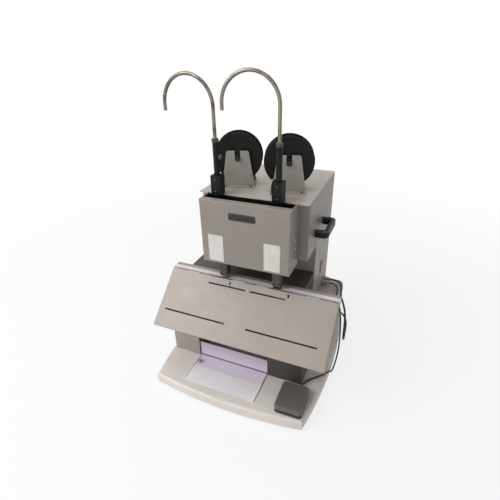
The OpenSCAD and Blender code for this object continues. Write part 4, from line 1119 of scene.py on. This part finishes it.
class STITCHER_OT_reels(bpy.types.Operator):
    """Reel stands, axles, ribbed spools and their wound wire"""
    bl_idname = "stitcher.reels"
    bl_label = "Wire reels"

    def execute(self, context):
        self.stands()
        plain("reel_axles", "axle_rods", 0.8, 3)
        for side, word in SIDES.items():
            self.spool(side, word)
            self.winding(side, word)
        return {"FINISHED"}

    def stands(self):
        stands = merged_copy("reel_stands", "stand_sheets")
        inverse = {side: reel_place(side).inverted() for side in SIDES}
        along = Vector((-math.sin(REEL_TURN), math.cos(REEL_TURN), 0))

        def upper(least, most):
            """Corners along the axle at the stands' top, between two distances from the reel's middle."""
            def test(edge):
                spot = middle_of(edge)
                spot = inverse[-1 if spot.x < 0 else 1] @ spot / MM
                crossing = is_corner(edge) and runs_along(edge, along, 0.95)
                return crossing and spot.z > STAND_TOP - 0.1 and least <= abs(spot.x) < most
            return test
        round_edges(stands, upper(30, math.inf), 6 * MM, 5)
        round_edges(stands, upper(0, 9), 1.6 * MM, 3)
        settle(soften(stands, 0.6 * MM), "reel_stands")
        places = [reel_place(side) @ at(x, y, STAND_FOOT)
                  for side in SIDES for x in STAND_SCREW_XS for y in STAND_SCREW_YS]
        add_on(screw_heads("stand_screws", 4.2, 2.6, places), "machine", "bare_steel", "dark_steel")

    def spool(self, side, word):
        """Turned spool with a beaded rim, a sunk face and six ribs on each flange."""
        half = [(8.06, -20), (19, -20), (20, -19.2), (63, -19.2), (65, -20), (72.2, -20), (73, -19.3), (73, -18.2),
                (72.2, -17.5), (31, -17.5), (30, -16.5)]
        profile = half + [(r, -h) for r, h in reversed(half)]
        spool = turned(f"{word}_spool", Vector(), AXIS_Y, profile, 96, bored=True)
        open_mesh(spool, "FACE")

        def ribs(face):
            spot = face.calc_center_median() / MM
            turn = math.degrees(math.atan2(spot.z, spot.x)) % 60
            flange = abs(face.normal.y) > 0.9 and abs(spot.y) > 19
            return flange and 25 < math.hypot(spot.x, spot.z) < 57 and turn < 3.75
        pick(spool, "FACE", ribs)
        bpy.ops.mesh.inset(thickness=0.4 * MM, depth=0.7 * MM, use_individual=True)
        close_mesh()
        spool.data.transform(reel_place(side))
        settle(soften(spool, 0.3 * MM, 2, 50), f"spool_{word}")

    def winding(self, side, word):
        """Stitching wire in a close layer over the turns below."""
        wire, width, outer_r, hub_r, edge = sizes().wire_d / MM, 34.0, 65.0, 30.1, 1
        pitch, radius = wire * 1.04, outer_r - wire / 2
        turns = int((width - wire) / pitch)
        points = [mm(x, along - pitch * turns / 2, z) for x, z, along in helix(radius, pitch, turns, 48)]
        layer = meshed(swept(f"{word}_wire", points, wire * MM, 1))
        core_r, half = radius - wire * 0.3, width / 2
        profile = [(hub_r, -half), (core_r - edge, -half), (core_r, edge - half), (core_r, half - edge),
                   (core_r - edge, half), (hub_r, half)]
        whole = joined([layer, turned("under_layers", Vector(), AXIS_Y, profile, 96, bored=True)])
        whole.data.transform(reel_place(side))
        settle(whole, f"wire_winding_{word}", smooth=50)


class STITCHER_OT_guides(bpy.types.Operator):
    """Clamps, hooked guide tubes, thumb screw and tension wheel"""
    bl_idname = "stitcher.guides"
    bl_label = "Wire guides"

    def execute(self, context):
        plain("guide_clamps", "clamp_blocks", 1.4, 3)
        for word in SIDES.values():
            plain(f"guide_tube_{word}", f"{word}_hook", 0.6, 2, 50)
        places = [at(x, CLAMP_FRONT, z, "X", 90) for x in GUIDE_XS for z in CLAMP_SCREW_ZS]
        add_on(screw_heads("clamp_screw_heads", 4.0, 3.0, places), "machine", "bare_steel", "dark_steel")
        profile = [(8.6, 738), (9.8, 738.5), (9.8, 746.5), (9.0, 747.5), (5.3, 747.5)]
        rings = [turned("sleeve_ring", mm(x, GUIDE_Y, 0), AXIS_Z, profile, 40) for x in GUIDE_XS]
        add_on(joined(rings), "machine", "bare_steel", "dark_steel")
        self.thumb_screw()
        self.wheel()
        return {"FINISHED"}

    def seat(self, node):
        """Where a piece that is turned about X starts, and its length in millimetres."""
        low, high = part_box(node)
        return Vector((low.x, (low.y + high.y) / 2, (low.z + high.z) / 2)), (high.x - low.x) / MM

    def knurl(self, piece, start, radius, depth):
        """Presses small pyramids into the faces of a rim turned about X."""
        open_mesh(piece, "FACE")

        def rim(face):
            away = (face.calc_center_median() - start) / MM
            return math.hypot(away.y, away.z) > radius * 0.97 and abs(face.normal.x) < 0.2
        pick(piece, "FACE", rim)
        bpy.ops.mesh.inset(thickness=depth * MM, depth=-depth * MM, use_individual=True)
        close_mesh()

    def thumb_screw(self):
        start, length = self.seat("thumb_screw")
        head = length - 9
        profile = [(2.4, 0), (2.5, 0.3), (2.5, head), (5.8, head), (6.5, head + 0.7), (6.5, head + 3.3),
                   (6.5, head + 5.9), (6.5, head + 8.3), (5.8, length), (4.0, length), (3.6, length - 0.5)]
        screw = turned("thumb_screw_knob", start, AXIS_X, profile, 36)
        self.knurl(screw, start, 6.5, 0.22)
        settle(screw, "thumb_screw")

    def wheel(self):
        start, length = self.seat("tension_wheel")
        profile = [(5.8, 0), (7, 0.8), (7, 5.2), (8.4, 6), (15, 6.3), (16.5, 7), (19, 7), (20.5, 6.2), (21.4, 6.2),
                   (22, 6.8), (22, 8.5), (22, 10.3), (21.4, 11), (5, 11), (4, 11.3), (4, length - 0.4), (3.6, length)]
        wheel = turned("tension_disc", start, AXIS_X, profile, 72)
        self.knurl(wheel, start, 22, 0.3)
        settle(wheel, "tension_wheel")


class STITCHER_OT_handles(bpy.types.Operator):
    """Side handles and the rocker switch"""
    bl_idname = "stitcher.handles"
    bl_label = "Handles and switch"

    def execute(self, context):
        for word in SIDES.values():
            plain(f"handle_{word}", f"{word}_grip", 4.6, 4, 50, smooth=40)
        plain("switch_bezel", "switch_frame", 0.7)
        plain("switch_rocker", "switch_key", 0.7, 3)
        return {"FINISHED"}


class STITCHER_OT_pedal(bpy.types.Operator):
    """Foot pedal: ribbed treadle, base, pin and spring"""
    bl_idname = "stitcher.pedal"
    bl_label = "Foot pedal"

    def execute(self, context):
        plain("pedal_base", "pedal_floor", 1.0)
        self.treadle()
        plain("pedal_pin", "pedal_rod", 0.4)
        self.spring()
        return {"FINISHED"}

    def treadle(self):
        """Treadle from a block: round corners, a rolled rim, pressed grooves, a skirt and two eyes for the pin."""
        half_x, half_y, low, high, corner = 41.0, 50.0, 18.0, 26.0, 10.0
        tread = coat(block(mm(-half_x, -half_y, low), mm(half_x, half_y, high), "pedal_tread"), "pedal_treadle")
        round_edges(tread, lambda edge: runs_along(edge, AXIS_Z), corner * MM, 8)
        round_edges(tread, top_rim(high), 3.0 * MM, 5)
        self.grooves(tread, high)
        self.skirt(tread, half_y - corner)
        whole = outward(joined([soften(tread, 0.4 * MM), *self.pin_eyes()]))
        whole.data.transform(Matrix.Translation(mm(*PEDAL_AT)) @ Matrix.Rotation(PEDAL_TURN, 4, "Z"))
        settle(whole, "pedal_treadle")

    def grooves(self, tread, height):
        """Eight grooves across the foot's place."""
        half, wide, deep = 33.0, 3.0, 1.2
        rows = [9.0 * row - 40.0 for row in range(8)]

        def top(face):
            spot = face.calc_center_median() / MM
            return face.normal.z > 0.99 and abs(spot.z - height) < 0.05 and abs(spot.x) < half
        open_mesh(tread, "FACE")
        cuts = [((x, 0), AXIS_X) for x in (-half, half)]
        cuts += [((0, y + edge), AXIS_Y) for y in rows for edge in (0.0, wide)]
        for (x, y), normal in cuts:
            pick(tread, "FACE", top)
            bpy.ops.mesh.bisect(plane_co=mm(x, y, height), plane_no=normal)
        pick(tread, "FACE", lambda face: top(face) and any(
            0 < face.calc_center_median().y / MM - y < wide for y in rows))
        draw_out(mm(0, 0, -deep))
        close_mesh()

    def skirt(self, tread, open_from):
        """A rim round the underside, open at the rear where the pedal's floor has its wall."""
        open_mesh(tread, "FACE")
        under = lambda face: face.normal.z < -0.99
        pick(tread, "FACE", under)
        bpy.ops.mesh.inset(thickness=2.0 * MM)

        def ring(face):
            spot = face.calc_center_median() / MM
            return under(face) and math.hypot(spot.x, spot.y) > 20 and spot.y < open_from - 0.1
        pick(tread, "FACE", ring)
        draw_out(mm(0, 0, -6))
        close_mesh()

    def pin_eyes(self):
        """Two eyes round the hinge pin, each on a short web."""
        profile = [(2.66, -5), (4.0, -5), (4.4, -4.6), (4.4, 4.6), (4.0, 5), (2.66, 5)]
        web_at, web_half = mm(0, -0.4, 5.4), mm(4.8, 3.6, 1.7)
        made = []
        for side in SIDES:
            middle = mm(side * 19.7, 41, 11)
            made.append(turned("pin_eye", middle, AXIS_X, profile, 32, bored=True))
            made.append(soften(block(middle + web_at - web_half, middle + web_at + web_half), 0.4 * MM))
        return made

    def spring(self):
        """A coil from the pedal's floor, at 4 mm, to the treadle's underside, at 18 mm."""
        turns, radius, wire = 4, 6.0, 1.6
        low, high = 4 + 0.3 + wire / 2, 18 - 0.3 - wire / 2
        points = [pedal_point(a, b - 10, low + up) for a, b, up in helix(radius, (high - low) / turns, turns, 20)]
        spring = meshed(swept("pedal_coil_spring", points, wire * MM, 2))
        settle(spring, "pedal_spring", smooth=50)
        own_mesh(spring)


class STITCHER_OT_screws(bpy.types.Operator):
    """Screws of the front, rear and top covers"""
    bl_idname = "stitcher.screws"
    bl_label = "Cover screws"

    def execute(self, context):
        places = []
        for z in COVER_SCREW_ZS:
            places += [at(side * COVER_SCREW_X, COVER_SCREW_Y, z, "Y", side * 90) for side in (1, -1)]
        for side in SIDES:
            places += [at(side * BACK_SCREW_X, BACK_Y, z, "X", -90) for z in BACK_SCREW_ZS]
        places += [at(side * TOP_SCREW_X, y, TOP_Z) for side in SIDES for y in TOP_SCREW_YS]
        settle(screw_heads("cover_screw_heads", 3.5, 1.8, places), "cover_screws")
        return {"FINISHED"}


STEPS = (STITCHER_OT_finishes, STITCHER_OT_stage, STITCHER_OT_cords, STITCHER_OT_base, STITCHER_OT_column,
         STITCHER_OT_head, STITCHER_OT_table, STITCHER_OT_supports, STITCHER_OT_stitch_heads, STITCHER_OT_reels,
         STITCHER_OT_guides, STITCHER_OT_handles, STITCHER_OT_pedal, STITCHER_OT_screws)


class STITCHER_PT_panel(bpy.types.Panel):
    """Sizes, colours and steps of the wire stitcher"""
    bl_idname = "STITCHER_PT_panel"
    bl_label = "Wire stitcher"
    bl_space_type = "VIEW_3D"
    bl_region_type = "UI"
    bl_category = "Stitcher"

    def draw(self, context):
        for group in (context.scene.stitcher_sizes, context.scene.stitcher_colours):
            box = self.layout.box()
            for name in group.__annotations__:
                box.prop(group, name)
        for step in STEPS:
            self.layout.operator(step.bl_idname)


CLASSES = (StitcherSizes, StitcherColours, *STEPS, STITCHER_PT_panel)


def register():
    for cls in CLASSES:
        bpy.utils.register_class(cls)
    bpy.types.Scene.stitcher_sizes = bpy.props.PointerProperty(type=StitcherSizes)
    bpy.types.Scene.stitcher_colours = bpy.props.PointerProperty(type=StitcherColours)


def unregister():
    del bpy.types.Scene.stitcher_colours
    del bpy.types.Scene.stitcher_sizes
    for cls in reversed(CLASSES):
        bpy.utils.unregister_class(cls)


def main():
    register()
    for step in STEPS:
        group, name = step.bl_idname.split(".")
        getattr(getattr(bpy.ops, group), name)()


if __name__ == "__main__":
    main()
